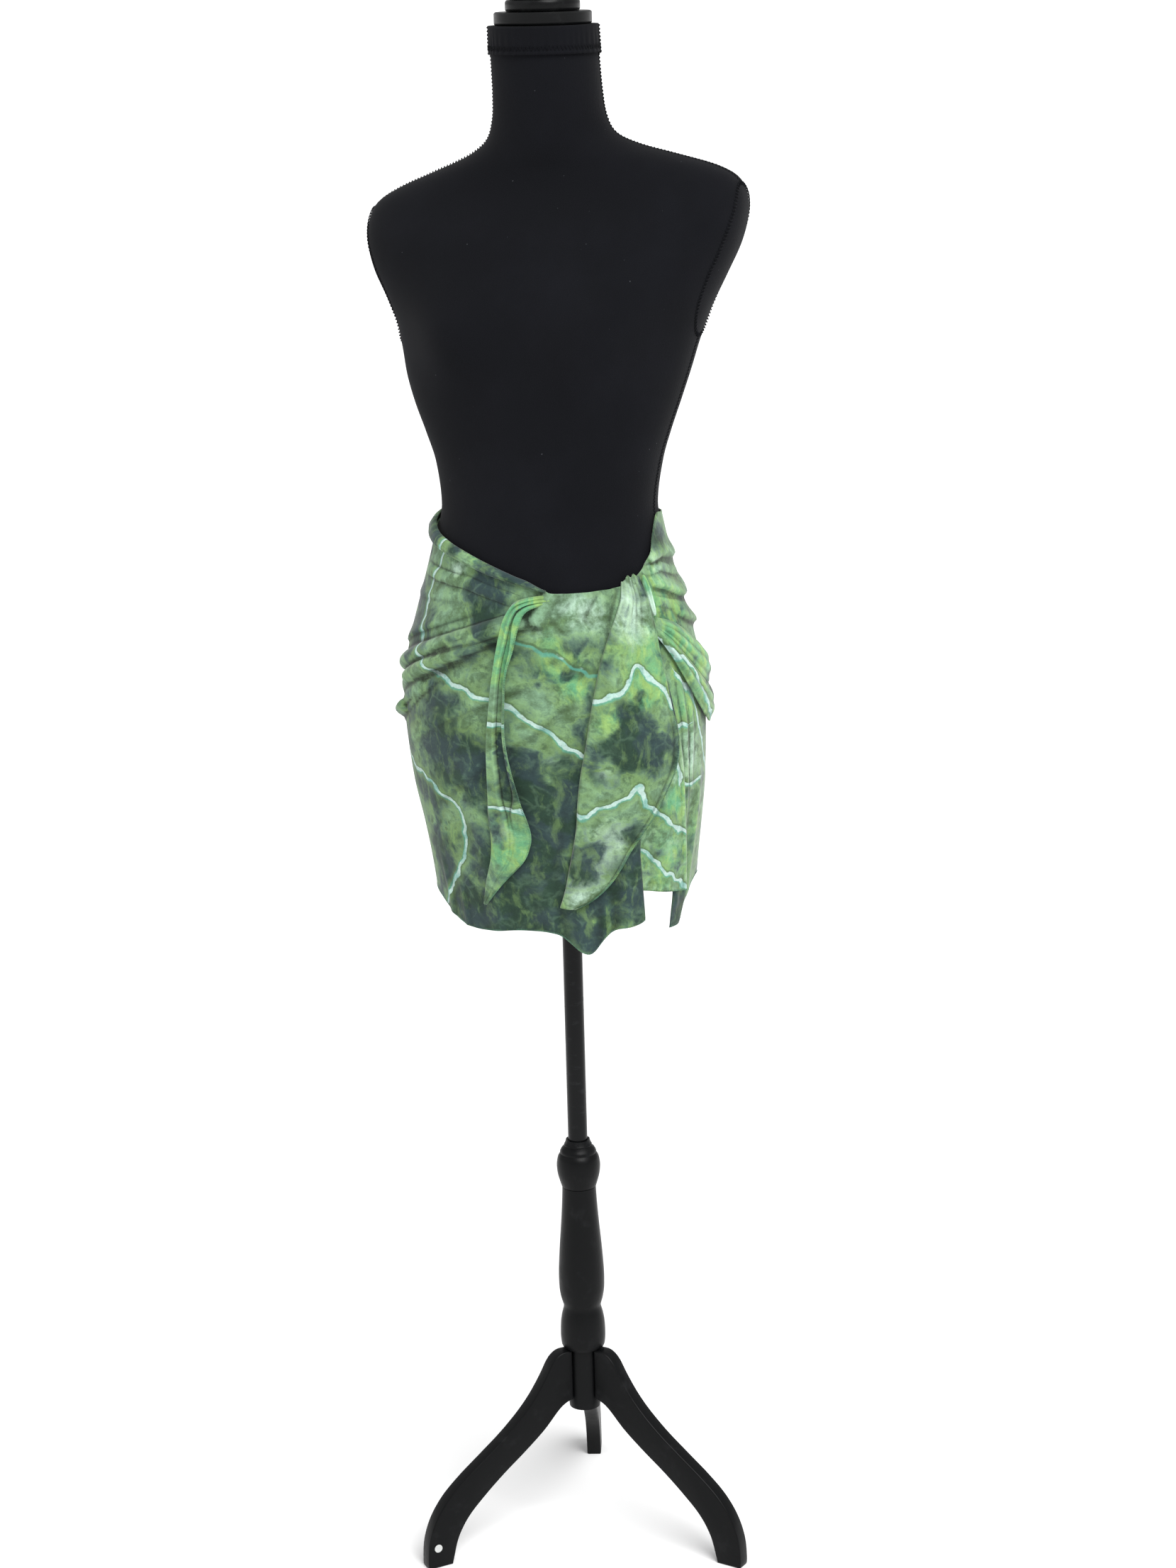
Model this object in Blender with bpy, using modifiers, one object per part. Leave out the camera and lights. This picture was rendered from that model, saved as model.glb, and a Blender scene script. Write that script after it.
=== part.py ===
"""A short wound sarong on a limbless dress form with a turned tripod stand, in metres, +Z up."""

import math

import bmesh
import bpy
from mathutils import Vector

# Placement: the pole stands a little off the middle of the box around everything
POLE_X = 0.0
POLE_Y = -0.0203

# Cloth
CLOTH = 0.0013
WRAP_LIFT = 0.0024
DEGREE = 0.0024
FRONT_STEP = 4.5
BACK_STEP = 9.0
WRAP_START = 44.0
WRAP_STOP = -300.0

# Dress form
FORM_BOTTOM = 0.775
FORM_TOP = 1.626
FORM_SIDES = 40
BOTTOM_ROUND = 0.018
BUST_DEPTH = 0.020
BUST_ANGLE = 29.0
BUST_HEIGHT = 1.335
SHOULDER_RISE = 0.062
SOCKET_RADIUS = 0.0109
SOCKET_DEPTH = 0.060
BAND_HEIGHT = 0.027
BAND_LIFT = 0.0013

# Stand
TURNED_SIDES = 32
POLE_RADIUS = 0.0104
POLE_FOOT = 0.4026
POLE_TOP = 0.825
POST_RADIUS = 0.0174
LEG_THICK = 0.016
LEG_BEVEL = 0.0014
LEG_ANGLES = (("leg_left", -46.0), ("leg_right", 74.0), ("leg_back", 194.0))
DISC_RADIUS = 0.0045
DISC_THICK = 0.001

# Form sections: height, half width, half depth, centre across, centre deep, corner power
FORM = (
    (0.660, 0.1240, 0.0980, 0.0046, -0.028, 2.30),
    (0.720, 0.1290, 0.1010, 0.0046, -0.029, 2.30),
    (0.775, 0.1345, 0.1040, 0.0045, -0.030, 2.30),
    (0.825, 0.1420, 0.1070, 0.0030, -0.030, 2.25),
    (0.870, 0.1490, 0.1090, 0.0005, -0.031, 2.20),
    (0.930, 0.1535, 0.1100, -0.0020, -0.031, 2.20),
    (0.960, 0.1525, 0.1090, -0.0025, -0.031, 2.20),
    (0.996, 0.1490, 0.1060, -0.0030, -0.031, 2.20),
    (1.030, 0.1410, 0.1020, -0.0030, -0.031, 2.20),
    (1.063, 0.1315, 0.0970, -0.0030, -0.031, 2.20),
    (1.100, 0.1215, 0.0910, -0.0025, -0.031, 2.20),
    (1.130, 0.1145, 0.0870, -0.0020, -0.031, 2.20),
    (1.156, 0.1105, 0.0845, -0.0015, -0.031, 2.20),
    (1.199, 0.1165, 0.0840, -0.0015, -0.028, 2.20),
    (1.228, 0.1260, 0.0850, -0.0030, -0.024, 2.20),
    (1.257, 0.1370, 0.0870, -0.0045, -0.018, 2.20),
    (1.286, 0.1465, 0.0900, -0.0045, -0.012, 2.20),
    (1.315, 0.1540, 0.0920, -0.0030, -0.006, 2.20),
    (1.343, 0.1630, 0.0915, -0.0010, 0.000, 2.25),
    (1.372, 0.1770, 0.0890, 0.0000, 0.005, 2.30),
    (1.400, 0.1900, 0.0840, 0.0000, 0.010, 2.50),
    (1.428, 0.1965, 0.0760, 0.0000, 0.013, 2.70),
    (1.450, 0.1945, 0.0680, 0.0000, 0.015, 2.70),
    (1.466, 0.1850, 0.0620, 0.0000, 0.015, 2.50),
    (1.478, 0.1630, 0.0590, 0.0010, 0.014, 2.30),
    (1.490, 0.1280, 0.0570, 0.0010, 0.012, 2.20),
    (1.503, 0.0900, 0.0560, 0.0005, 0.008, 2.00),
    (1.516, 0.0670, 0.0550, 0.0000, 0.004, 2.00),
    (1.535, 0.0575, 0.0545, 0.0000, 0.000, 2.00),
    (1.560, 0.0545, 0.0540, 0.0000, -0.004, 2.00),
    (1.600, 0.0535, 0.0533, -0.0010, -0.007, 2.00),
    (1.626, 0.0530, 0.0530, -0.0015, -0.008, 2.00),
)

# Top edge and hem of the wrap: angle round the form from the front, height
TOP_EDGE = (
    (-320.0, 1.084),
    (-305.0, 1.092),
    (-290.0, 1.124),
    (-280.0, 1.145),
    (-262.0, 1.139),
    (-230.0, 1.143),
    (-180.0, 1.147),
    (-120.0, 1.145),
    (-90.0, 1.142),
    (-74.0, 1.138),
    (-57.0, 1.128),
    (-35.0, 1.122),
    (-17.0, 1.113),
    (-5.0, 1.098),
    (9.0, 1.083),
    (25.0, 1.081),
    (48.0, 1.086),
)
HEM = (
    (-296.0, 0.728),
    (-292.0, 0.729),
    (-288.5, 0.748),
    (-284.0, 0.757),
    (-270.0, 0.766),
    (-230.0, 0.752),
    (-180.0, 0.745),
    (-130.0, 0.748),
    (-90.0, 0.756),
    (-60.0, 0.751),
    (-49.0, 0.742),
    (-39.0, 0.731),
    (-27.0, 0.727),
    (4.0, 0.730),
    (17.7, 0.709),
    (28.0, 0.731),
    (48.0, 0.745),
)
FRONT_END = (
    (0.700, 48.0),
    (0.745, 47.5),
    (0.812, 43.5),
    (0.950, 42.5),
    (1.020, 43.5),
    (1.060, 45.5),
    (1.090, 47.2),
)
REAR_END = (
    (0.72, -293.0),
    (0.76, -292.0),
    (0.85, -294.0),
    (0.93, -298.0),
    (1.00, -302.0),
    (1.09, -310.0),
)
# The line the rows follow: the main fold on the left hip, carried on round
GUIDE = (
    (-310.0, 1.035),
    (-270.0, 1.010),
    (-232.0, 0.978),
    (-180.0, 0.950),
    (-128.0, 0.955),
    (-88.0, 0.982),
    (-50.0, 1.012),
    (-21.0, 1.036),
    (2.0, 1.056),
    (20.0, 1.050),
    (48.0, 1.040),
)
ROWS_BELOW = (0.0, 0.10, 0.20, 0.30, 0.40, 0.50, 0.60, 0.69, 0.77, 0.83, 0.88, 0.92, 0.96)
ROWS_ABOVE = (0.0, 0.12, 0.26, 0.42, 0.60, 0.80, 1.0)

# Folds of the wrap: height, half width, line of (angle, height) points
WRAP_FOLDS = (
    (0.0052, 0.009, ((-128, 0.955), (-88, 0.982), (-50, 1.012), (-21, 1.036), (2, 1.056))),
    (0.0036, 0.008, ((-120, 0.930), (-82, 0.961), (-55, 0.990), (-30, 1.011), (-8, 1.030))),
    (0.0030, 0.007, ((-105, 0.905), (-73, 0.941), (-58, 0.962), (-40, 0.985))),
    (0.0050, 0.007, ((-86, 0.934), (-78, 0.940), (-70, 0.945), (-62, 0.952))),
    (0.0022, 0.005, ((-72, 1.094), (-26, 1.087), (-9, 1.077), (3, 1.068))),
    (0.0040, 0.007, ((63, 1.085), (76, 1.078), (93, 1.064), (120, 1.060))),
    (0.0030, 0.007, ((63, 1.105), (80, 1.110), (95, 1.104), (120, 1.100))),
    (0.0036, 0.007, ((76, 1.056), (93, 1.040), (112, 1.030), (140, 1.020))),
    (0.0034, 0.009, ((87, 0.915), (84, 0.860), (82, 0.800), (80, 0.762))),
    (0.0060, 0.014, ((17, 0.800), (17, 0.755), (18, 0.700), (18, 0.680))),
    (0.0028, 0.012, ((-24, 0.930), (-20, 0.850), (-16, 0.760), (-14, 0.700))),
    (0.0050, 0.016, ((-150, 0.880), (-152, 0.820), (-154, 0.740), (-155, 0.690))),
    (0.0050, 0.016, ((-186, 0.880), (-187, 0.820), (-188, 0.740), (-188, 0.690))),
    (0.0050, 0.016, ((-222, 0.880), (-221, 0.820), (-220, 0.740), (-219, 0.690))),
    (0.0036, 0.012, ((-96, 0.900), (-92, 0.840), (-88, 0.760), (-86, 0.700))),
)
# A fold that starts past FRONT_LIMIT is on the wrap's rear stretch; one that spans less than UPRIGHT_SPAN
# hangs down and stays open at the hem
FRONT_LIMIT = 49.0
UPRIGHT_SPAN = 12.0
EDGE_FLARE = 0.0050

# Rolled top band: height above its own top line and lift, round the section
ROLL_SECTION = (
    (-0.0150, 0.0050),
    (-0.0115, 0.0064),
    (-0.0060, 0.0074),
    (-0.0005, 0.0068),
    (0.0040, 0.0048),
    (0.0045, 0.0028),
)
ROLL_TOP = 0.0015
ROLL_START = 9.0
ROLL_END = -226.0

# Tails and drapes: left edge (angle, height), right edge (angle, height), row by row
TAIL_WIDE = (
    ((46.0, 1.0915), (57.0, 1.0950)),
    ((43.0, 1.0750), (58.0, 1.0760)),
    ((39.0, 1.0580), (58.2, 1.0580)),
    ((34.5, 1.0400), (58.0, 1.0380)),
    ((30.5, 1.0200), (57.5, 1.0180)),
    ((27.5, 1.0000), (58.0, 0.9960)),
    ((24.0, 0.9640), (60.0, 0.9590)),
    ((21.5, 0.9300), (62.0, 0.9300)),
    ((19.0, 0.8980), (60.5, 0.9020)),
    ((17.5, 0.8700), (54.0, 0.8720)),
    ((16.5, 0.8470), (48.0, 0.8500)),
    ((14.5, 0.8220), (39.0, 0.8220)),
    ((12.5, 0.8000), (34.0, 0.8020)),
    ((11.0, 0.7820), (28.5, 0.7840)),
    ((9.5, 0.7680), (21.0, 0.7680)),
    ((8.5, 0.7600), (14.0, 0.7590)),
)
TAIL_NARROW = (
    ((10.5, 1.0785), (11.0, 1.0700)),
    ((6.0, 1.0780), (7.5, 1.0690)),
    ((1.5, 1.0760), (4.5, 1.0672)),
    ((-1.8, 1.0715), (2.5, 1.0645)),
    ((-4.0, 1.0640), (1.0, 1.0590)),
    ((-6.0, 1.0510), (0.0, 1.0480)),
    ((-7.5, 1.0280), (-1.5, 1.0250)),
    ((-8.5, 1.0030), (-3.5, 1.0010)),
    ((-10.0, 0.9640), (-4.2, 0.9640)),
    ((-11.5, 0.9240), (-4.0, 0.9240)),
    ((-13.0, 0.8770), (-1.5, 0.8770)),
    ((-14.0, 0.8500), (0.0, 0.8500)),
    ((-14.0, 0.8300), (0.2, 0.8280)),
    ((-15.0, 0.8080), (-2.5, 0.8060)),
    ((-18.3, 0.7820), (-11.2, 0.7800)),
    ((-20.4, 0.7580), (-19.0, 0.7570)),
)
HIP_DRAPE = (
    ((63.2, 1.0470), (61.3, 1.0290)),
    ((67.8, 1.0470), (65.0, 1.0130)),
    ((73.6, 1.0420), (69.5, 0.9950)),
    ((81.0, 1.0320), (76.5, 0.9720)),
    ((89.5, 1.0200), (85.5, 0.9490)),
    ((98.0, 1.0100), (95.0, 0.9310)),
    ((107.0, 1.0030), (105.0, 0.9300)),
    ((118.0, 0.9980), (117.0, 0.9420)),
    ((130.0, 0.9940), (130.0, 0.9600)),
    ((142.0, 0.9900), (142.0, 0.9800)),
)
CASCADE = (
    ((49.0, 0.9980), (60.0, 0.9960)),
    ((47.5, 0.9600), (63.5, 0.9600)),
    ((44.5, 0.9200), (66.5, 0.9150)),
    ((43.0, 0.8750), (68.5, 0.8750)),
    ((42.0, 0.8300), (71.0, 0.8350)),
    ((42.5, 0.7950), (74.5, 0.7950)),
    ((43.5, 0.7740), (77.0, 0.7620)),
)
KNOT_ANGLE = 61.6
KNOT_HEIGHT = 1.0720
KNOT_HALF_ANGLE = 2.6
KNOT_HALF_HEIGHT = 0.0195
KNOT_LIFT = 0.0095
KNOT_HALF_DEPTH = 0.0058
KNOT_SLANT = 0.9

# Turned profiles: radius, height, from the top down
CAP_FLANGE = (
    (0.0, 1.6390),
    (0.0470, 1.6390),
    (0.0485, 1.6375),
    (0.0485, 1.6280),
    (0.0475, 1.6265),
    (0.0, 1.6265),
)
CAP_FINIAL = (
    (0.0, 1.6800),
    (0.0180, 1.6790),
    (0.0260, 1.6750),
    (0.0290, 1.6700),
    (0.0290, 1.6660),
    (0.0270, 1.6640),
    (0.0330, 1.6620),
    (0.0340, 1.6600),
    (0.0340, 1.6540),
    (0.0310, 1.6520),
    (0.0360, 1.6500),
    (0.0370, 1.6480),
    (0.0370, 1.6410),
    (0.0360, 1.6394),
    (0.0, 1.6394),
)
COLLAR = (
    (0.0109, 0.4560),
    (0.0128, 0.4560),
    (0.0136, 0.4530),
    (0.0150, 0.4505),
    (0.0146, 0.4490),
    (0.0178, 0.4460),
    (0.0196, 0.4425),
    (0.0192, 0.4408),
    (0.0218, 0.4370),
    (0.0233, 0.4300),
    (0.0234, 0.4240),
    (0.0226, 0.4170),
    (0.0205, 0.4090),
    (0.0186, 0.4030),
    (0.0109, 0.4030),
)
COLUMN = (
    (0.0, 0.4022),
    (0.0182, 0.4022),
    (0.0184, 0.3960),
    (0.0192, 0.3800),
    (0.0208, 0.3580),
    (0.0228, 0.3340),
    (0.0241, 0.3150),
    (0.0247, 0.3020),
    (0.0247, 0.2920),
    (0.0242, 0.2820),
    (0.0224, 0.2720),
    (0.0204, 0.2650),
    (0.0204, 0.2615),
    (0.0222, 0.2545),
    (0.0237, 0.2460),
    (0.0244, 0.2350),
    (0.0243, 0.2260),
    (0.0234, 0.2185),
    (0.0222, 0.2160),
    (0.0, 0.2160),
)
POST = (
    (0.0, 0.2155),
    (POST_RADIUS, 0.2155),
    (POST_RADIUS, 0.1510),
    (0.0158, 0.1470),
    (0.0120, 0.1440),
    (0.0060, 0.1428),
    (0.0, 0.1425),
)

# Leg outline: distance from the pole axis, height, down the outer edge and back up the inner one
LEG_OUTLINE = (
    (0.0178, 0.2150),
    (0.0290, 0.2150),
    (0.0365, 0.2115),
    (0.0430, 0.2045),
    (0.0520, 0.1890),
    (0.0650, 0.1700),
    (0.0800, 0.1530),
    (0.1015, 0.1335),
    (0.1265, 0.1145),
    (0.1525, 0.0950),
    (0.1735, 0.0760),
    (0.1885, 0.0545),
    (0.1970, 0.0305),
    (0.1990, 0.0060),
    (0.1980, 0.0),
    (0.1700, 0.0),
    (0.1680, 0.0080),
    (0.1615, 0.0300),
    (0.1485, 0.0510),
    (0.1280, 0.0710),
    (0.1040, 0.0910),
    (0.0785, 0.1100),
    (0.0545, 0.1295),
    (0.0350, 0.1495),
    (0.0250, 0.1560),
    (0.0178, 0.1580),
)
DISC_DISTANCE = 0.1875
DISC_HEIGHT = 0.0235


def clear_scene():
    """Removes the startup objects."""
    for obj in list(bpy.data.objects):
        bpy.data.objects.remove(obj)


def make_material(name, colour, roughness, metallic=0.0):
    """One plain Principled material."""
    material = bpy.data.materials.new(name)
    material.use_nodes = True
    shader = material.node_tree.nodes["Principled BSDF"]
    shader.inputs["Base Color"].default_value = (*colour, 1.0)
    shader.inputs["Roughness"].default_value = roughness
    shader.inputs["Metallic"].default_value = metallic
    return material


def smooth_row(table, key):
    """The values of a table's rows at any key, by a cubic through its rows."""
    if key <= table[0][0]:
        return table[0][1:]
    if key >= table[-1][0]:
        return table[-1][1:]
    last = len(table) - 1
    i = max(k for k in range(last) if table[k][0] <= key)
    before, start, stop, after = (table[min(max(k, 0), last)] for k in (i - 1, i, i + 1, i + 2))
    span = stop[0] - start[0]
    t = (key - start[0]) / span
    row = []
    for n in range(1, len(start)):
        rise = (stop[n] - before[n]) / (stop[0] - before[0]) * span
        fall = (after[n] - start[n]) / (after[0] - start[0]) * span
        row.append(
            (2 * t**3 - 3 * t**2 + 1) * start[n]
            + (t**3 - 2 * t**2 + t) * rise
            + (3 * t**2 - 2 * t**3) * stop[n]
            + (t**3 - t**2) * fall
        )
    return row


def straight(table, key):
    """The one value of a table of pairs at any key, along straight lines."""
    for (a, low), (b, high) in zip(table, table[1:]):
        if key <= b:
            return low + (high - low) * max(0.0, (key - a) / (b - a))
    return table[-1][1]


def ramp(value, start, stop):
    """0 before start, 1 after stop, and a smooth step between."""
    t = min(1.0, max(0.0, (value - start) / (stop - start)))
    return t * t * (3 - 2 * t)


def form_point(angle, z, lift=0.0):
    """A point on the form, or lifted off it, at an angle in degrees from its front."""
    half_width, half_depth, middle, centre, power = smooth_row(FORM, z)
    turn = math.radians(angle)
    across = math.sin(turn)
    along = math.cos(turn)
    x = middle + (half_width + lift) * math.copysign(abs(across) ** (2 / power), across)
    y = centre - (half_depth + lift) * math.copysign(abs(along) ** (2 / power), along)
    if z > 1.20:
        wrapped = (angle + 180) % 360 - 180
        side = (abs(wrapped) - BUST_ANGLE) / 19
        high = (z - BUST_HEIGHT) / 0.048
        y -= BUST_DEPTH * math.exp(-(side**2) - high**2)
        z += SHOULDER_RISE * x * ramp(z, 1.22, 1.40) * (1 - ramp(z, 1.50, 1.56))
    return Vector((x, y, z))


def fold_height(folds, angle, z):
    """How far the folds lift the cloth at one place."""
    total = 0.0
    for height, half, line in folds:
        best = None
        points = [Vector((a * DEGREE, h)) for a, h in line]
        here = Vector((angle * DEGREE, z))
        if line[0][0] > FRONT_LIMIT and angle < 0:
            here.x += 360 * DEGREE
        length = sum((q - p).length for p, q in zip(points, points[1:]))
        done = 0.0
        for p, q in zip(points, points[1:]):
            step = q - p
            t = min(1.0, max(0.0, (here - p).dot(step) / step.length_squared))
            away = (here - p - step * t).length
            if best is None or away < best[0]:
                best = (away, (done + t * step.length) / length)
            done += step.length
        away, share = best
        taper = ramp(share, 0.0, 0.16) * (1 - ramp(share, 0.86, 1.0))
        if abs(line[0][0] - line[-1][0]) < UPRIGHT_SPAN:
            taper = ramp(share, 0.0, 0.45)
        total += height * taper * math.exp(-((away / half) ** 2))
    return total


def wrap_lift(angle, z):
    """The lift of the main stretch at one place, folds and flared front edge included."""
    flare = EDGE_FLARE * ramp(angle, 30, 42) * (1 - ramp(z, 0.92, 0.98))
    return WRAP_LIFT + fold_height(WRAP_FOLDS, angle, z) + flare


def link(obj, collection, parent, material):
    """Puts an object in the collection, on the parent, with its material."""
    collection.objects.link(obj)
    obj.parent = parent
    obj.data.materials.append(material)
    return obj


def smooth_faces(mesh):
    """Shades every face of a mesh smooth."""
    for face in mesh.polygons:
        face.use_smooth = True


def grid_mesh(name, rows, closed=False):
    """A mesh lofted through rows of points, open or closed round each row."""
    shape = bmesh.new()
    lines = [[shape.verts.new(point) for point in row] for row in rows]
    for low, high in zip(lines, lines[1:]):
        count = len(low)
        for i in range(count if closed else count - 1):
            j = (i + 1) % count
            shape.faces.new((low[i], low[j], high[j], high[i]))
    mesh = bpy.data.meshes.new(name)
    shape.to_mesh(mesh)
    shape.free()
    smooth_faces(mesh)
    return mesh


def make_sheet(name, rows, collection, parent, material, closed=False):
    """A cloth sheet of even thickness through rows of points."""
    obj = bpy.data.objects.new(name, grid_mesh(name, rows, closed))
    solidify = obj.modifiers.new("cloth", "SOLIDIFY")
    solidify.thickness = CLOTH
    solidify.offset = 0.0
    return link(obj, collection, parent, material)


def make_turned(name, profile, collection, parent, material, closed=False):
    """A turned piece from a profile of (radius, height) points, given from the top down."""
    mesh = bpy.data.meshes.new(name)
    points = [(radius, 0.0, height) for radius, height in profile]
    edges = [(i, i + 1) for i in range(len(points) - 1)]
    if closed:
        edges.append((len(points) - 1, 0))
    mesh.from_pydata(points, edges, [])
    obj = bpy.data.objects.new(name, mesh)
    screw = obj.modifiers.new("turn", "SCREW")
    screw.steps = TURNED_SIDES
    screw.render_steps = TURNED_SIDES
    screw.use_merge_vertices = True
    screw.merge_threshold = 0.00005
    screw.use_smooth_shade = True
    return link(obj, collection, parent, material)


def wrap_rows():
    """Rows of the main stretch, from the hem up, each from the front end round to the rear end."""
    angles = [WRAP_START]
    while angles[-1] > WRAP_STOP:
        back = -240 < angles[-1] <= -100
        angles.append(angles[-1] - (BACK_STEP if back else FRONT_STEP))
    first, last = angles[0], angles[-1]
    shares = [(HEM, GUIDE, share) for share in ROWS_BELOW]
    shares += [(GUIDE, TOP_EDGE, share) for share in ROWS_ABOVE]
    rows = []
    for lower, upper, share in shares:
        row = []
        for nominal in angles:
            low = smooth_row(lower, nominal)[0]
            high = smooth_row(upper, nominal)[0]
            z = low + (high - low) * share
            across = (first - nominal) / (first - last)
            front = straight(FRONT_END, z)
            rear = straight(REAR_END, z)
            pull = (front - first) * (1 - across) ** 6 + (rear - last) * across**6
            angle = nominal + pull
            row.append(form_point(angle, z, wrap_lift(angle, z)))
        rows.append(row)
    return rows


def roll_rows():
    """Rows of the rolled top band, section by section along the top edge."""
    angle = ROLL_START
    rows = []
    while angle > ROLL_END:
        top = smooth_row(TOP_EDGE, angle)[0] + ROLL_TOP
        size = 0.30 + 0.70 * ramp(ROLL_START - angle, 0, 40)
        size *= 1 - 0.55 * ramp(angle, ROLL_END + 40, ROLL_END) if angle < -180 else 1.0
        row = []
        for rise, lift in ROLL_SECTION:
            z = top + rise * size
            row.append(form_point(angle, z, 0.0028 + (lift - 0.0028) * (0.55 + 0.45 * size)))
        rows.append(row)
        angle -= FRONT_STEP if angle > -100 else BACK_STEP
    return rows


def strip_rows(edges, steps, count, lift_at):
    """Rows across a hanging strip, between its two edges, with a lift for each place."""
    table = [(i / (len(edges) - 1), *left, *right) for i, (left, right) in enumerate(edges)]
    rows = []
    for i in range(steps + 1):
        down = i / steps
        left_angle, left_z, right_angle, right_z = smooth_row(table, down)
        row = []
        for j in range(count + 1):
            over = j / count
            angle = left_angle + (right_angle - left_angle) * over
            z = left_z + (right_z - left_z) * over
            row.append(form_point(angle, z, lift_at(down, over, angle, z)))
        rows.append(row)
    return rows


def wide_lift(down, over, angle, z):
    """Lift of the broad end: gathers at the tie that open into soft folds."""
    gathers = 0.0028 * (0.5 - 0.5 * math.cos(6 * math.pi * over)) * (1 - ramp(down, 0.20, 0.65))
    ridge = 0.0034 * math.exp(-(((over - 0.16) / 0.12) ** 2)) * (1 - ramp(down, 0.45, 0.9))
    belly = 0.0030 * math.sin(math.pi * over) * ramp(down, 0.2, 0.5)
    turned = 0.0056 * (1 - ramp(down, 0.0, 0.09))
    return 0.0100 + (gathers + ridge) * ramp(down, -0.04, 0.08) + belly - turned


def narrow_lift(down, over, angle, z):
    """Lift of the narrow end: a strip folded along its length, with a hollow behind the lip."""
    body = math.sin(math.pi * min(1.0, over / 0.62)) ** 2
    lip = ramp(over, 0.72, 1.0)
    open_up = 1 - 0.6 * ramp(down, 0.75, 0.95)
    lying = 0.0048 * (1 - ramp(down, 0.0, 0.12))
    return 0.0092 - lying + (0.0046 * body + 0.0036 * lip) * open_up * ramp(down, 0.05, 0.25)


def drape_lift(down, over, angle, z):
    """Lift of the gathered stretch on the hip, in folds that run along it."""
    folds = 0.0036 * (0.5 - 0.5 * math.cos(4 * math.pi * over)) * (1 - ramp(down, 0.7, 1.0))
    under = 0.0016 * ramp(z, 1.02, 1.05) * ramp(angle, 70, 80)
    ends = 0.0019 * (ramp(down, 0.82, 0.98) + 1 - ramp(down, 0.0, 0.06))
    return 0.0064 + folds + under - ends


def cascade_lift(down, over, angle, z):
    """Lift of the inner hanging panel: it passes behind the front edge and over the rear one."""
    wave = 0.0012 * (0.5 - 0.5 * math.cos(2 * math.pi * over)) * ramp(down, 0.3, 0.9)
    tuck = 0.0021 * ramp(z, 0.90, 0.96)
    return 0.0030 + 0.0034 * ramp(angle, 50, 56) + (wave - tuck) * ramp(angle, 54, 60)


def make_form(collection, parent, material):
    """The closed torso, lofted through its sections, with a socket for the pole."""
    rows = []
    angles = [360 / FORM_SIDES * i for i in range(FORM_SIDES)]
    for turn in (0, 30, 60, 90):
        z = FORM_BOTTOM + BOTTOM_ROUND * (1 - math.cos(math.radians(turn)))
        inset = BOTTOM_ROUND * (1 - math.sin(math.radians(turn)))
        rows.append([form_point(a, z, -inset) for a in angles])
    for section in FORM:
        if section[0] > FORM_BOTTOM + BOTTOM_ROUND:
            rows.append([form_point(a, section[0]) for a in angles])
    mesh = grid_mesh("form_body", rows, closed=True)
    shape = bmesh.new()
    shape.from_mesh(mesh)
    bmesh.ops.holes_fill(shape, edges=shape.edges, sides=FORM_SIDES)
    bmesh.ops.recalc_face_normals(shape, faces=shape.faces)
    shape.to_mesh(mesh)
    shape.free()
    obj = link(bpy.data.objects.new("form_body", mesh), collection, parent, material)
    cutter_mesh = bpy.data.meshes.new("socket_cutter")
    shape = bmesh.new()
    bmesh.ops.create_cone(
        shape,
        cap_ends=True,
        segments=24,
        radius1=SOCKET_RADIUS,
        radius2=SOCKET_RADIUS,
        depth=2 * SOCKET_DEPTH,
    )
    shape.to_mesh(cutter_mesh)
    shape.free()
    cutter = bpy.data.objects.new("socket_cutter", cutter_mesh)
    collection.objects.link(cutter)
    cutter.parent = parent
    cutter.location = (0.0, 0.0, FORM_BOTTOM)
    cutter.hide_render = True
    cutter.display_type = "WIRE"
    cut = obj.modifiers.new("socket", "BOOLEAN")
    cut.operation = "DIFFERENCE"
    cut.solver = "EXACT"
    cut.object = cutter
    return obj


def make_band(collection, parent, material):
    """The sewn band round the top of the neck."""
    rows = []
    for i in range(4):
        z = FORM_TOP - BAND_HEIGHT + BAND_HEIGHT * i / 3
        rows.append([form_point(360 / FORM_SIDES * k, z, BAND_LIFT) for k in range(FORM_SIDES)])
    return make_sheet("neck_band", rows, collection, parent, material, closed=True)


def make_knot(collection, parent, material):
    """The tie: a gathered bunch of cloth that lies on the wrap."""
    shape = bmesh.new()
    bmesh.ops.create_uvsphere(shape, u_segments=24, v_segments=10, radius=1.0)
    for vert in shape.verts:
        across, out, up = vert.co.x, -vert.co.y, vert.co.z
        gather = 0.88 + 0.12 * math.cos(4 * math.pi * across)
        angle = KNOT_ANGLE + KNOT_HALF_ANGLE * (across - KNOT_SLANT * up)
        z = KNOT_HEIGHT + KNOT_HALF_HEIGHT * math.copysign(abs(up) ** 0.8, up)
        depth = KNOT_HALF_DEPTH * out * (gather if out > 0 else 1.0)
        vert.co = form_point(angle, z, KNOT_LIFT + depth)
    bmesh.ops.recalc_face_normals(shape, faces=shape.faces)
    mesh = bpy.data.meshes.new("knot")
    shape.to_mesh(mesh)
    shape.free()
    smooth_faces(mesh)
    return link(bpy.data.objects.new("knot", mesh), collection, parent, material)


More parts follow.
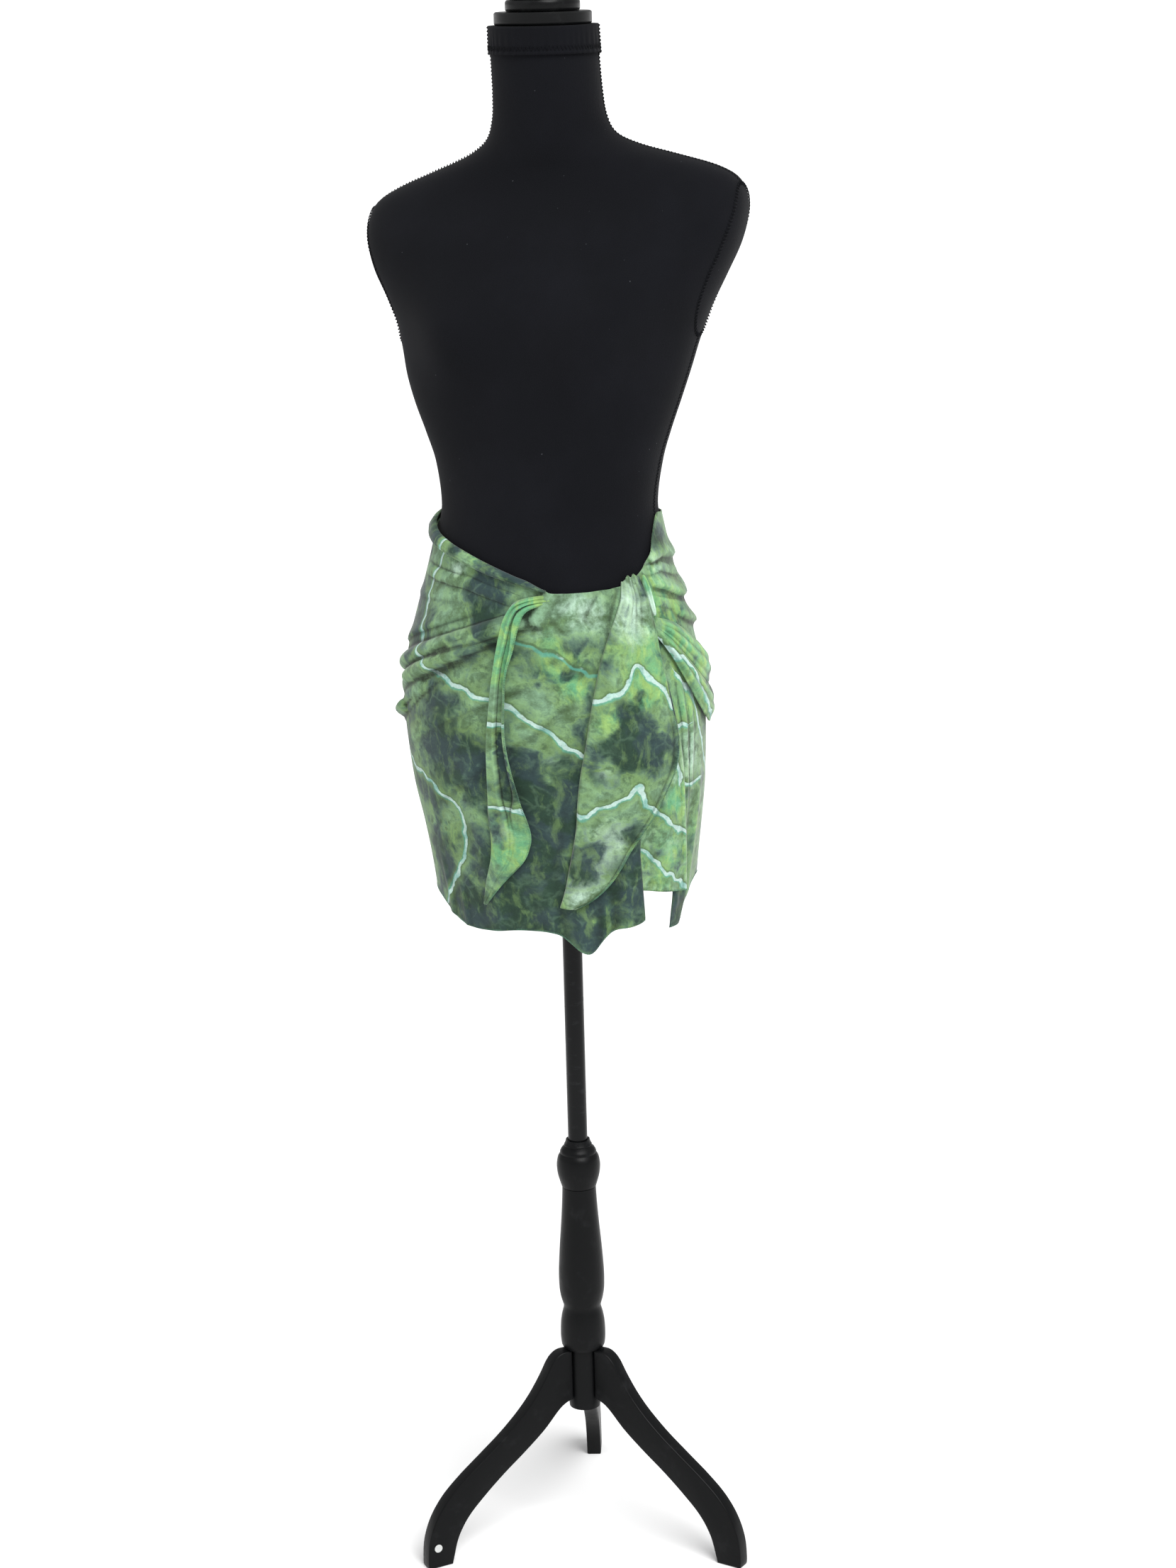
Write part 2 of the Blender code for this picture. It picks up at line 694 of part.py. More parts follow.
def make_leg(name, angle, collection, parent, material):
    """One flat S-curved leg, cut from board and turned to its place."""
    curve = bpy.data.curves.new(name, "CURVE")
    curve.dimensions = "2D"
    curve.fill_mode = "BOTH"
    line = curve.splines.new("POLY")
    line.points.add(len(LEG_OUTLINE) - 1)
    for point, (distance, height) in zip(line.points, LEG_OUTLINE):
        point.co = (distance, height, 0.0, 1.0)
    line.use_cyclic_u = True
    curve.extrude = LEG_THICK / 2
    outline = bpy.data.objects.new(name + "_outline", curve)
    collection.objects.link(outline)
    mesh = bpy.data.meshes.new_from_object(outline)
    bpy.data.objects.remove(outline)
    shape = bmesh.new()
    shape.from_mesh(mesh)
    bmesh.ops.remove_doubles(shape, verts=shape.verts, dist=0.00002)
    bmesh.ops.dissolve_limit(
        shape, angle_limit=math.radians(1), verts=shape.verts, edges=shape.edges
    )
    bmesh.ops.recalc_face_normals(shape, faces=shape.faces)
    rims = [
        edge
        for edge in shape.edges
        if all(abs(abs(vert.co.z) - LEG_THICK / 2) < 1e-6 for vert in edge.verts)
        and edge.calc_length() > 0.004
        and edge.calc_face_angle(0.0) > 1.0
        and min(vert.co.y for vert in edge.verts) > 0.001
    ]
    bmesh.ops.bevel(
        shape, geom=rims, offset=LEG_BEVEL, segments=1, profile=0.5, affect="EDGES", material=-1
    )
    shape.to_mesh(mesh)
    shape.free()
    mesh.name = name
    obj = link(bpy.data.objects.new(name, mesh), collection, parent, material)
    obj.rotation_euler = (math.radians(90), 0.0, math.radians(angle - 90))
    return obj


def make_disc(collection, parent, material):
    """The small plain disc on the side of the left leg."""
    turn = math.radians(LEG_ANGLES[0][1])
    outward = Vector((math.sin(turn), -math.cos(turn), 0.0))
    side = Vector((math.cos(turn), math.sin(turn), 0.0))
    mesh = bpy.data.meshes.new("foot_disc")
    shape = bmesh.new()
    bmesh.ops.create_cone(
        shape,
        cap_ends=True,
        segments=20,
        radius1=DISC_RADIUS,
        radius2=DISC_RADIUS,
        depth=DISC_THICK,
    )
    shape.to_mesh(mesh)
    shape.free()
    obj = link(bpy.data.objects.new("foot_disc", mesh), collection, parent, material)
    clear = LEG_THICK / 2 + 0.0004 + DISC_THICK / 2
    obj.location = outward * DISC_DISTANCE + side * clear + Vector((0, 0, DISC_HEIGHT))
    obj.rotation_euler = side.to_track_quat("Z", "Y").to_euler()
    return obj


def main():
    """Builds every piece in one collection."""
    clear_scene()
    collection = bpy.data.collections.new("sarong_on_form")
    bpy.context.scene.collection.children.link(collection)
    base = bpy.data.objects.new("pole_axis", None)
    base.location = (POLE_X, POLE_Y, 0.0)
    collection.objects.link(base)

    jersey = make_material("dyed_jersey", (0.16, 0.26, 0.10), 0.85)
    dark_jersey = make_material("form_jersey", (0.012, 0.012, 0.014), 0.9)
    plastic = make_material("cap_plastic", (0.015, 0.015, 0.016), 0.4)
    paint = make_material("black_paint", (0.012, 0.012, 0.013), 0.45)
    metal = make_material("pole_metal", (0.012, 0.012, 0.013), 0.35, 0.6)
    pale = make_material("disc_plastic", (0.6, 0.6, 0.58), 0.5)

    make_form(collection, base, dark_jersey)
    make_band(collection, base, dark_jersey)
    across, deep = smooth_row(FORM, FORM_TOP)[2:4]
    for name, profile in (("neck_flange", CAP_FLANGE), ("neck_finial", CAP_FINIAL)):
        make_turned(name, profile, collection, base, plastic).location = (across, deep, 0.0)
    pole = ((0.0, POLE_TOP), (POLE_RADIUS, POLE_TOP), (POLE_RADIUS, POLE_FOOT), (0.0, POLE_FOOT))
    make_turned("pole", pole, collection, base, metal)
    make_turned("stand_collar", COLLAR, collection, base, paint, closed=True)
    make_turned("stand_column", COLUMN, collection, base, paint)
    make_turned("stand_post", POST, collection, base, paint)
    for name, angle in LEG_ANGLES:
        make_leg(name, angle, collection, base, paint)
    make_disc(collection, base, pale)

    make_sheet("wrap_body", wrap_rows(), collection, base, jersey)
    make_sheet("waist_roll", roll_rows(), collection, base, jersey)
    strips = (
        ("tail_wide", TAIL_WIDE, 18, 10, wide_lift),
        ("tail_narrow", TAIL_NARROW, 24, 8, narrow_lift),
        ("hip_drape", HIP_DRAPE, 16, 6, drape_lift),
        ("cascade_fold", CASCADE, 8, 8, cascade_lift),
    )
    for name, edges, steps, count, lift_at in strips:
        make_sheet(name, strip_rows(edges, steps, count, lift_at), collection, base, jersey)
    make_knot(collection, base, jersey)


main()
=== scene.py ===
"""A short tie-dyed sarong wound round a limbless dress form on a turned tripod stand.

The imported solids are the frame. Every cloth stretch, the form's cover, its caps and the stand are
modelled again here at a finer grain, on the same sections and outlines, and dressed with procedural
finishes. All lengths are in metres, all angles on the form in degrees from its front, towards the
form's left hip, where the sarong is tied.
"""

from __future__ import annotations

import logging
import math
from dataclasses import dataclass, field
from enum import Enum
from typing import Callable, Mapping, Sequence

import bmesh
import bpy
import numpy as np
from mathutils import Matrix, Vector, noise

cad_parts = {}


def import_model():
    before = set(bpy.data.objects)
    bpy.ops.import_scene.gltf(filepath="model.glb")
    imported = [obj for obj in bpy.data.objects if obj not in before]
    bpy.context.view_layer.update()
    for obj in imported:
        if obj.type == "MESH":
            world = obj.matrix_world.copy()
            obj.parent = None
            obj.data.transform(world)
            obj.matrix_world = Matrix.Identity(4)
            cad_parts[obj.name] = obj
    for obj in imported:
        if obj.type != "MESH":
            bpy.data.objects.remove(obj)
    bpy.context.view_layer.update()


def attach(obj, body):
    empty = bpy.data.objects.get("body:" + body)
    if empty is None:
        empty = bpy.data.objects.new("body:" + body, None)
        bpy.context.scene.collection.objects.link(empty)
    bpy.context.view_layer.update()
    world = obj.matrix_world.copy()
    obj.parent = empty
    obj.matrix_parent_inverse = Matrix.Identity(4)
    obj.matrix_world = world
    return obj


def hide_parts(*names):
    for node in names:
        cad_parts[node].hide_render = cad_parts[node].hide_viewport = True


LOG = logging.getLogger("sarong")

Array = np.ndarray
Material = bpy.types.Material
Piece = bpy.types.Object
Shape = bmesh.types.BMesh
Socket = bpy.types.NodeSocket
Colour = tuple[float, float, float]
Table = Sequence[Sequence[float]]
Place = Callable[[Array, Array], "Laid"]
Inputs = Mapping[str | int, object]

# The pole's place and the form's middle, front to back
POLE_Y = -0.0203
FORM_Y = POLE_Y - 0.03
# Flat pattern for one degree round the form, and the cloth's thickness
DEGREE = 0.0024
CLOTH = 0.0011
# Rounds of smoothing that a crease is measured from, and the depth of a full one
SMOOTHING_ROUNDS = 9
FULL_HOLLOW = 0.0005
# Turned pieces: steps round, spacing along the profile, and the turn that stays a corner
TURNED_STEPS = 96
TURNED_SPACING = 0.0022
TURNED_CORNER = 33.0
# Thread points in one overlock loop
LOOP_POINTS = 8


class Tone(Enum):
    """The dye tones that gather in spots; the value is the tone's place in the attribute."""

    SLATE = 0
    FRESH = 1
    PALE = 2


class Side(Enum):
    """A border of a stretch: across is 0 at its left and 1 at its right, down is 0 at its start."""

    LEFT = 0
    RIGHT = 1
    START = 2
    END = 3


# Plain numeric helpers


def shade(red: int, green: int, blue: int) -> Colour:
    """The linear colour of a display colour given in steps of 255.

    Args:
        red: Red on the display.
        green: Green on the display.
        blue: Blue on the display.

    Returns:
        The colour for a shader socket.
    """

    def linear(step: int) -> float:
        """One colour step, made linear."""
        share = step / 255
        return share / 12.92 if share <= 0.04045 else ((share + 0.055) / 1.055) ** 2.4

    return linear(red), linear(green), linear(blue)


def ramp(value: Array | float, start: float, stop: float) -> Array:
    """A smooth step from 0 at start to 1 at stop."""
    t = np.clip((np.asarray(value, float) - start) / (stop - start), 0.0, 1.0)
    return t * t * (3 - 2 * t)


def bell(value: Array | float, centre: float, reach: float) -> Array:
    """A rounded bump of height 1 round centre, that wide."""
    return np.exp(-(((np.asarray(value, float) - centre) / reach) ** 2))


def smooth_rows(table: Table, key: Array) -> Array:
    """Reads a table's columns at any keys, by a cubic through its rows.

    Args:
        table: Rows whose first column is the key, rising.
        key: The places to read.

    Returns:
        One row of the other columns for each key.
    """
    rows = np.asarray(table, float)
    at = np.clip(np.asarray(key, float), rows[0, 0], rows[-1, 0])
    i = np.clip(np.searchsorted(rows[:, 0], at, side="right") - 1, 0, len(rows) - 2)
    before, start = rows[np.maximum(i - 1, 0)], rows[i]
    stop, after = rows[i + 1], rows[np.minimum(i + 2, len(rows) - 1)]
    span = stop[..., :1] - start[..., :1]
    t = (at[..., None] - start[..., :1]) / span
    rise = (stop - before)[..., 1:] / (stop - before)[..., :1] * span
    fall = (after - start)[..., 1:] / (after - start)[..., :1] * span
    return (
        (2 * t**3 - 3 * t**2 + 1) * start[..., 1:]
        + (t**3 - 2 * t**2 + t) * rise
        + (3 * t**2 - 2 * t**3) * stop[..., 1:]
        + (t**3 - t**2) * fall
    )


def straight(table: Table, key: Array) -> Array:
    """Reads a table of pairs along straight lines."""
    rows = np.asarray(table, float)
    return np.interp(key, rows[:, 0], rows[:, 1])


def grain(across: Array, up: Array, scale: float, seed: float) -> Array:
    """Smooth noise from -1 to 1 over a flat pattern, the same on every run.

    Args:
        across: Pattern places, metres across.
        up: Pattern places, metres up.
        scale: Bumps to a metre, about.
        seed: Sets this noise apart from others.

    Returns:
        One number for each place.
    """
    flat = zip((across * scale).ravel(), (up * scale).ravel())
    values = [noise.noise(Vector((x, y, seed))) for x, y in flat]
    return np.asarray(values).reshape(np.shape(across))


def nearest_on_line(line: Table, across: Array, up: Array) -> tuple[Array, ...]:
    """Measures from places on the flat pattern to a line on it.

    Args:
        line: (angle, height) points.
        across: Pattern places, metres across.
        up: Pattern places, metres up.

    Returns:
        The distance, its sign by side, and the share of the line passed at the nearest point.
    """
    points = [(angle * DEGREE, height) for angle, height in line]
    steps = [math.dist(a, b) for a, b in zip(points, points[1:])]
    total = sum(steps)
    best = np.full(np.shape(across), 9.0)
    share = np.zeros_like(best)
    sign = np.ones_like(best)
    done = 0.0
    for (ax, ay), (bx, by), length in zip(points, points[1:], steps):
        dx, dy = bx - ax, by - ay
        t = np.clip(((across - ax) * dx + (up - ay) * dy) / length**2, 0, 1)
        away = np.hypot(across - ax - t * dx, up - ay - t * dy)
        closer = away < best
        turn = np.sign(dx * (up - ay) - dy * (across - ax))
        share = np.where(closer, (done + t * length) / total, share)
        sign = np.where(closer, turn, sign)
        best = np.where(closer, away, best)
        done += length
    return best, sign, share


# Form, folds and dye as data


@dataclass(frozen=True)
class FormShape:
    """The dress form's sections: height, half width, half depth, centre across, centre deep, power."""

    sections: Table = (
        (0.66, 0.124, 0.098, 0.0046, -0.028, 2.3),
        (0.72, 0.129, 0.101, 0.0046, -0.029, 2.3),
        (0.775, 0.1345, 0.104, 0.0045, -0.03, 2.3),
        (0.825, 0.142, 0.107, 0.003, -0.03, 2.25),
        (0.87, 0.149, 0.109, 0.0005, -0.031, 2.2),
        (0.93, 0.1535, 0.11, -0.002, -0.031, 2.2),
        (0.96, 0.1525, 0.109, -0.0025, -0.031, 2.2),
        (0.996, 0.149, 0.106, -0.003, -0.031, 2.2),
        (1.03, 0.141, 0.102, -0.003, -0.031, 2.2),
        (1.063, 0.1315, 0.097, -0.003, -0.031, 2.2),
        (1.1, 0.1215, 0.091, -0.0025, -0.031, 2.2),
        (1.13, 0.1145, 0.087, -0.002, -0.031, 2.2),
        (1.156, 0.1105, 0.0845, -0.0015, -0.031, 2.2),
        (1.199, 0.1165, 0.084, -0.0015, -0.028, 2.2),
        (1.228, 0.126, 0.085, -0.003, -0.024, 2.2),
        (1.257, 0.137, 0.087, -0.0045, -0.018, 2.2),
        (1.286, 0.1465, 0.09, -0.0045, -0.012, 2.2),
        (1.315, 0.154, 0.092, -0.003, -0.006, 2.2),
        (1.343, 0.163, 0.0915, -0.001, 0, 2.25),
        (1.372, 0.177, 0.089, 0, 0.005, 2.3),
        (1.4, 0.19, 0.084, 0, 0.01, 2.5),
        (1.428, 0.1965, 0.076, 0, 0.013, 2.7),
        (1.45, 0.1945, 0.068, 0, 0.015, 2.7),
        (1.466, 0.185, 0.062, 0, 0.015, 2.5),
        (1.478, 0.163, 0.059, 0.001, 0.014, 2.3),
        (1.49, 0.128, 0.057, 0.001, 0.012, 2.2),
        (1.503, 0.09, 0.056, 0.0005, 0.008, 2),
        (1.516, 0.067, 0.055, 0, 0.004, 2),
        (1.535, 0.0575, 0.0545, 0, 0, 2),
        (1.56, 0.0545, 0.054, 0, -0.004, 2),
        (1.6, 0.0535, 0.0533, -0.001, -0.007, 2),
        (1.626, 0.053, 0.053, -0.0015, -0.008, 2),
    )
    bust_depth: float = 0.020
    bust_angle: float = 29.0
    bust_half_angle: float = 19.0
    bust_height: float = 1.335
    bust_half_height: float = 0.048
    bust_from: float = 1.20
    shoulder_rise: float = 0.062
    rise_heights: tuple[float, float] = (1.22, 1.40)
    level_heights: tuple[float, float] = (1.50, 1.56)

    def points(self, angle: Array, z: Array, lift: Array | float) -> Array:
        """Points on the form or lifted off it.

        Args:
            angle: Degrees from the front.
            z: Height of the section.
            lift: Distance off the form.

        Returns:
            The points, one row each.
        """
        angle, z, lift = np.broadcast_arrays(angle, z, lift)
        wide, deep, middle, centre, power = np.moveaxis(smooth_rows(self.sections, z), -1, 0)
        across = np.sin(np.radians(angle))
        along = np.cos(np.radians(angle))
        x = middle + (wide + lift) * np.sign(across) * np.abs(across) ** (2 / power)
        y = centre - (deep + lift) * np.sign(along) * np.abs(along) ** (2 / power)
        side = (np.abs((angle + 180) % 360 - 180) - self.bust_angle) / self.bust_half_angle
        high = (z - self.bust_height) / self.bust_half_height
        y = y - self.bust_depth * np.exp(-(side**2) - high**2) * (z > self.bust_from)
        rise = self.shoulder_rise * x * ramp(z, *self.rise_heights)
        rise = rise * (1 - ramp(z, *self.level_heights))
        return np.stack([x, y + POLE_Y, z + rise], axis=-1)


FORM = FormShape()


@dataclass(frozen=True)
class Fold:
    """One fold of the main stretch.

    Attributes:
        height: How far it stands off the cloth round it.
        half: Half its width.
        line: (angle, height) points along its crest.
        hangs: It comes in gently at its top and runs out at the hem at full height.
        rolled: It is a round roll between two creases, and not a soft swell.
        lean: How much steeper it is below its crest, or to the right of a hanging one, from 0 to 1.
        fades: The share of its line where it starts to fade out.
        full: The share of its line where it has its full height, and that of a hanging one.
        roll_reach: Half widths from a roll's crest to its edge.
        roll_power: How round a roll's back is.
        front_limit: Folds that start at larger angles lie on the part that comes round from the back.
    """

    height: float
    half: float
    line: Table
    hangs: bool = False
    rolled: bool = False
    lean: float = 0.0
    fades: float = 0.86
    full: tuple[float, float] = (0.16, 0.45)
    roll_reach: float = 1.25
    roll_power: float = 0.75
    front_limit: float = 49.0

    def lift(self, angle: Array, z: Array) -> Array:
        """The lift that this fold gives at each place.

        Args:
            angle: Degrees from the front.
            z: Heights.

        Returns:
            The lift at each place.
        """
        turned = angle + 360.0 * ((self.line[0][0] > self.front_limit) & (angle < 0))
        away, sign, share = nearest_on_line(self.line, turned * DEGREE, z)
        away = away / (self.half * (1 + self.lean * sign))
        if self.hangs:
            taper = ramp(share, 0.0, self.full[1])
        else:
            taper = ramp(share, 0.0, self.full[0]) * (1 - ramp(share, self.fades, 1.0))
        if self.rolled:
            back = np.clip(1 - (away / self.roll_reach) ** 2, 0.0, 1.0)
            return self.height * taper * back**self.roll_power
        return self.height * taper * np.exp(-(away**2))


@dataclass(frozen=True)
class Vein:
    """A pale line where the binding kept the dye out.

    Attributes:
        line: (angle, height) points that it wanders along.
        gain: How clear it is: 1 is white, less breaks it into spots.
    """

    line: Table
    gain: float = 1.0

    def smooth_line(self) -> Table:
        """The line with its corners rounded."""
        table = [(i, *point) for i, point in enumerate(self.line)]
        return smooth_rows(table, np.linspace(0, len(table) - 1, 5 * len(table) - 4)).tolist()


@dataclass(frozen=True)
class DyePlan:
    """The veins and tone spots of one stretch of cloth.

    Attributes:
        veins: Its pale lines.
        spots: Where each tone gathers: angle, height, reach in metres and strength.
        seed: Sets its noise apart from that of the other stretches.
        base: The weight of each tone everywhere.
        warp: How far the spots are pushed out of round, and at what scale of noise.
        stray: How far the veins stray from their lines, and at what scales across and up.
    """

    veins: tuple[Vein, ...] = ()
    spots: Mapping[Tone, Table] = field(default_factory=dict)
    seed: float = 0.0
    base: Colour = (0.0, 0.0, 0.0)
    warp: tuple[float, float] = (0.012, 22.0)
    stray: tuple[float, float, float] = (0.004, 60.0, 75.0)

    def vein_field(self, angle: Array, z: Array) -> Array:
        """Signed distance to the nearest vein, its gain, and the plain distance, for each place.

        Args:
            angle: Degrees from the front.
            z: Heights.

        Returns:
            Three numbers for each place.
        """
        across = angle * DEGREE
        reach, scale_across, scale_up = self.stray
        aside = across + reach * grain(across, z, scale_across, self.seed + 3.1)
        up = z + reach * grain(across, z, scale_up, self.seed + 7.7)
        best = np.full(np.shape(across), 1.0)
        gain = np.zeros_like(best)
        for vein in self.veins:
            away, sign, _ = nearest_on_line(vein.smooth_line(), aside, up)
            closer = away < np.abs(best)
            best = np.where(closer, away * sign, best)
            gain = np.where(closer, vein.gain, gain)
        return np.stack([best, gain, np.abs(best)], axis=-1)

    def tone_field(self, angle: Array, z: Array) -> Array:
        """The weight of each tone for each place.

        Args:
            angle: Degrees from the front.
            z: Heights.

        Returns:
            Three numbers for each place.
        """
        across = angle * DEGREE
        warp, scale = self.warp
        aside = across + warp * grain(across, z, scale, self.seed + 1.3)
        up = z + warp * grain(across, z, scale, self.seed + 5.9)
        tones = np.zeros((*np.shape(across), 3)) + np.asarray(self.base)
        for tone, spots in self.spots.items():
            for middle, height, reach, strength in spots:
                away = np.hypot(aside - middle * DEGREE, up - height)
                tones[..., tone.value] += strength * np.exp(-((away / reach) ** 2))
        return tones


@dataclass
class Laid:
    """Where a sheet's grid lies: points, flat pattern, and its places on the form."""

    points: Array
    pattern: Array
    angle: Array
    height: Array


# Finishes


class Recipe:
    """A material mixed from nodes."""

    def __init__(self, name: str) -> None:
        """Starts the material with its one shader.

        Args:
            name: The material's name.
        """
        self.material = bpy.data.materials.new(name)
        self.material.use_nodes = True
        self.tree = self.material.node_tree
        self.shader = self.tree.nodes["Principled BSDF"]

    def node(self, kind: str, inputs: Inputs | None = None, **settings: object) -> bpy.types.Node:
        """Adds one node.

        Args:
            kind: The type of node.
            inputs: What goes into its inputs, by name or place.
            settings: Its properties.

        Returns:
            The node.
        """
        made = self.tree.nodes.new(kind)
        for name, value in settings.items():
            setattr(made, name, value)
        for name, value in (inputs or {}).items():
            self.put(made.inputs[name], value)
        return made

    def put(self, socket: Socket, value: object) -> None:
        """Links a socket to another, or sets its value.

        Args:
            socket: The input.
            value: A socket, number or colour.
        """
        if isinstance(value, Socket):
            self.tree.links.new(value, socket)
        elif isinstance(value, tuple) and len(value) == 3 and socket.type == "RGBA":
            socket.default_value = (*value, 1.0)
        else:
            socket.default_value = value

    def surface(self, **sockets: object) -> None:
        """Sets the shader's own sockets; a name's underscores stand for spaces."""
        for name, value in sockets.items():
            self.put(self.shader.inputs[name.replace("_", " ")], value)

    def object_place(self) -> Socket:
        """Object coordinates."""
        return self.node("ShaderNodeTexCoord").outputs["Object"]

    def pattern_place(self) -> Socket:
        """The flat pattern of the cloth, in metres."""
        return self.node("ShaderNodeUVMap", uv_map="pattern").outputs["UV"]

    def field(self, name: str) -> list[Socket]:
        """The three numbers of a vector attribute."""
        attribute = self.node("ShaderNodeAttribute", attribute_name=name)
        return list(self.node("ShaderNodeSeparateXYZ", {0: attribute.outputs["Vector"]}).outputs)

    def number(self, name: str) -> Socket:
        """A number attribute."""
        return self.node("ShaderNodeAttribute", attribute_name=name).outputs["Fac"]

    def stretch(self, place: object, scale: Colour, turn: float = 0.0) -> Socket:
        """Coordinates scaled apart along their axes, and turned about Z."""
        inputs = {"Vector": place, "Scale": scale, "Rotation": (0.0, 0.0, turn)}
        return self.node("ShaderNodeMapping", inputs).outputs[0]

    def noise(
        self, place: object, scale: float, detail: float = 4.0, rough: float = 0.55, bend: float = 0.0
    ) -> Socket:
        """Noise from 0 to 1, with that many finer layers."""
        inputs = {"Vector": place, "Scale": scale, "Detail": detail, "Roughness": rough, "Distortion": bend}
        return self.node("ShaderNodeTexNoise", inputs).outputs[0]

    def ribs(self, place: object, pitch: float, bend: float = 0.0) -> Socket:
        """Waves across X, one for each pitch."""
        inputs = {"Vector": place, "Scale": math.pi / 10 / pitch, "Distortion": bend}
        made = self.node("ShaderNodeTexWave", inputs, wave_type="BANDS", bands_direction="X")
        return made.outputs["Fac"]

    def cells(self, place: object, scale: float) -> list[Socket]:
        """Petal-like cells: the soft distance from their middles, and the distance from their edges."""
        inputs = {"Vector": place, "Scale": scale}
        kinds = ("SMOOTH_F1", "DISTANCE_TO_EDGE")
        made = [self.node("ShaderNodeTexVoronoi", inputs, feature=kind) for kind in kinds]
        return [petals.outputs["Distance"] for petals in made]

    def drift(self, place: object, scale: float, reach: float) -> Socket:
        """Coordinates pushed about by noise.

        Args:
            place: The coordinates.
            scale: The noise's scale.
            reach: How far they are pushed.

        Returns:
            The new coordinates.
        """
        push = self.node("ShaderNodeTexNoise", {"Vector": place, "Scale": scale, "Detail": 3.0})
        step = {0: push.outputs["Color"], 1: (0.5, 0.5, 0.5)}
        centred = self.node("ShaderNodeVectorMath", step, operation="SUBTRACT")
        step = {0: centred.outputs[0], "Scale": reach}
        sized = self.node("ShaderNodeVectorMath", step, operation="SCALE")
        moved = self.node("ShaderNodeVectorMath", {0: place, 1: sized.outputs[0]}, operation="ADD")
        return moved.outputs[0]

    def math(self, operation: str, *values: object) -> Socket:
        """One math node."""
        return self.node("ShaderNodeMath", dict(enumerate(values)), operation=operation).outputs[0]

    def times(self, value: object, factor: object) -> Socket:
        """The product of two values."""
        return self.math("MULTIPLY", value, factor)

    def total(self, *terms: tuple[object, float]) -> Socket:
        """The sum of (value, weight) terms."""
        result: object = 0.0
        for value, weight in terms:
            result = self.math("MULTIPLY_ADD", value, weight, result)
        return result

    def band(self, value: object, low: float, high: float) -> Socket:
        """A smooth step from 0 at low to 1 at high; low above high turns it round."""
        first, last = (1.0, 0.0) if low > high else (0.0, 1.0)
        inputs = {"Value": value, "From Min": min(low, high), "From Max": max(low, high)}
        inputs |= {"To Min": first, "To Max": last}
        return self.node("ShaderNodeMapRange", inputs, interpolation_type="SMOOTHSTEP").outputs["Result"]

    def blend(self, factor: object, first: object, second: object) -> Socket:
        """Two colours mixed by a factor."""
        return self.node("ShaderNodeMix", {0: factor, 6: first, 7: second}, data_type="RGBA").outputs[2]

    def bump(self, height: object, distance: float, strength: float = 1.0, under: object = None) -> Socket:
        """A bump whose height of 1 stands that far up, over another bump if one is given.

        Args:
            height: The relief, from 0 to 1.
            distance: How far 1 stands up.
            strength: How much of it shows.
            under: The bump below it.

        Returns:
            The normal.
        """
        inputs = {"Height": height, "Distance": distance, "Strength": strength}
        if under is not None:
            inputs["Normal"] = under
        return self.node("ShaderNodeBump", inputs).outputs[0]


